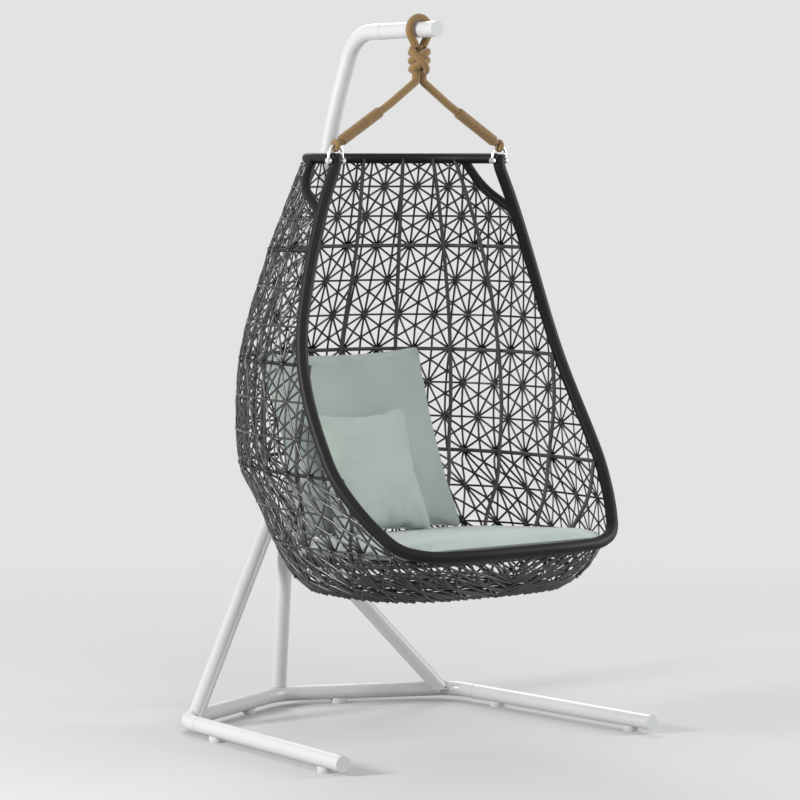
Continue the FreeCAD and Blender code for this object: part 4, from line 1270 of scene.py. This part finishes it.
def standRing(name, line, kind):
    bead, ridge, pitch = stand[kind]
    ring = tubeMesh(line, bead, 8, ridge, pitch, lead=0, ends=False)
    finishedPiece(name, ring, paintLook, "stand", "stand_paint")


def makeStandDetails():
    axis = stand["axis"]
    rear, front = Vector((*stand["rear"], axis)), Vector((*stand["front"], axis))
    foot = Vector((0, stand["mastFoot"], axis))
    runner = (front - rear).normalized()
    mastWay = (Vector((0, *stand["mastBend"])) - foot).normalized()
    behind = Vector((0, mastWay.z, -mastWay.y)) * stand["braceBehind"]
    apex = foot + mastWay * ((stand["braceTop"] - axis) / mastWay.z) + behind
    outward, back = stand["braceFoot"]
    middle = Vector((0, back, axis))
    rise = (apex - middle).length - stand["braceBend"]
    angle = math.atan2(rise, outward) + math.asin(stand["braceBend"] / math.hypot(outward, rise))
    upward = (apex - middle).normalized()
    for side, word in ((-1, "left"), (1, "right")):
        flip = Vector((side, 1, 1))
        joint = rear + runner * stand["runnerJoint"]
        seamRing(word + "RunnerSeam", joint * flip, runner * flip, "runnerSeam")
        way = Vector((-side, 0, 0)) * math.cos(angle) + upward * math.sin(angle)
        weldBead(word + "BraceWeld", Vector((side * outward, back, axis)), way,
                 rear * flip, ((foot - rear) * flip).normalized())
    weldBead("mastWeld", foot, mastWay, foot, Vector((1, 0, 0)))
    seamRing("armSeam", Vector((0, *stand["armJoint"])), Vector((0, 1, 0)), "armSeam")


# the first word that is in a shown solid's name says its material
solidLooks = (("_cap", capLook), ("_glide", footLook), ("shackle", steelLook), ("hoop", ribLook),
              ("rib_", ribLook), ("rail", paintLook), ("runner", paintLook), ("mast", paintLook),
              ("arm", paintLook), ("brace", paintLook))


def dressSolids():
    for name, node in cadNodes.items():
        look = next((look for word, look in solidLooks if word in name), None)
        if look:
            node.data.materials.clear()
            node.data.materials.append(look)


# room, light and camera

room = {
    "floorSize": 400,
    "floorColour": grey(0.54),
    "fadeStart": 1.3,
    "fadeLength": 3.2,
    "background": (0.765, 0.765, 0.765, 1),
    "sky": (0.95, 0.98, 1.0, 1),
    "skyStrength": 0.66,
}
lamps = {
    "keyLight": {"place": (-5.6, 1.2, 2.3), "aim": 1.1, "size": 1.2, "energy": 330,
                 "color": (1.0, 0.985, 0.96)},
    "sideLight": {"place": (4.3, -2.4, 2.2), "aim": 1.0, "size": 2.4, "energy": 140,
                  "color": (1, 1, 1)},
    "fillLight": {"place": (-1.4, -4.8, 4.6), "aim": 0.6, "size": 3.0, "energy": 90,
                  "color": (0.97, 0.985, 1.0)},
    "rimLight": {"place": (2.5, 4.6, 4.2), "aim": 1.2, "size": 2.2, "energy": 110,
                 "color": (1, 1, 1)},
}
view = {"place": (-6.160, -7.977, 1.740), "azimuth": -37.35, "pitch": 4.095, "lens": 151.5,
        "sensor": 36, "farthest": 200}


def makeRoom():
    # a floor that fades out, and a sky that is brighter than the background behind it
    bpy.ops.mesh.primitive_plane_add(size=room["floorSize"])
    floor = bpy.context.object
    floor.name = "studioFloor"
    finish = Finish("studioFloorPaint", room["floorColour"], 0.9, Specular_IOR_Level=0.1)
    x, y, _ = finish.axes(finish.place())
    away = (x * x + y * y).power(0.5)
    fade = ((away - room["fadeStart"]) / room["fadeLength"]).clamp()
    painted = Wire(finish.tree, finish.shader.outputs[0])
    mixed = finish.node("ShaderNodeMixShader", {}, {
        0: fade, 1: painted, 2: finish.node("ShaderNodeBsdfTransparent")})
    plug(finish.tree, mixed, finish.tree.nodes["Material Output"].inputs[0])
    floor.data.materials.append(finish.material)

    world = bpy.data.worlds.new("studio")
    bpy.context.scene.world = world
    world.use_nodes = True
    world.node_tree.nodes.clear()
    sky = Nodes(world.node_tree)
    seen = sky.node("ShaderNodeLightPath", output="Is Camera Ray").maths(
        "MAXIMUM", sky.node("ShaderNodeLightPath", output="Is Glossy Ray"))
    lit = sky.node("ShaderNodeBackground", {}, {
        "Color": room["sky"], "Strength": room["skyStrength"]})
    shown = sky.node("ShaderNodeBackground", {}, {"Color": room["background"]})
    sky.node("ShaderNodeOutputWorld", {}, {
        0: sky.node("ShaderNodeMixShader", {}, {0: seen, 1: lit, 2: shown})})


def makeLights():
    for name, spec in lamps.items():
        light = bpy.data.lights.new(name, "AREA")
        light.shape = "SQUARE"
        for label in ("size", "energy", "color"):
            setattr(light, label, spec[label])
        holder = addObject(name, light)
        holder.location = spec["place"]
        aim = Vector((0, 0, spec["aim"])) - Vector(spec["place"])
        holder.rotation_euler = aim.to_track_quat("-Z", "Y").to_euler()


def makeCamera():
    data = bpy.data.cameras.new("camera")
    data.lens = view["lens"]
    data.sensor_width = view["sensor"]
    data.clip_end = view["farthest"]
    camera = addObject("camera", data)
    camera.location = view["place"]
    camera.rotation_euler = (math.pi / 2 - math.radians(view["pitch"]), 0,
                             math.radians(view["azimuth"]))
    bpy.context.scene.camera = camera


dressSolids()
makeSkin()
makeSeatPanel()
makeFloorPanel()
print("weave made")
makeRim()
makeTop()
print("wound tubes made")
makeLoop()
makeKnot()
makeLegs()
print("ropes made")
makeCushion("seat", cushionLook)
makeCushion("back", cushionLook)
makeCushion("pillow", pillowLook)
makeStandDetails()
print("stand dressed")
makeRoom()
makeLights()
makeCamera()
bpy.context.scene.view_settings.view_transform = "Standard"
print("scene made")
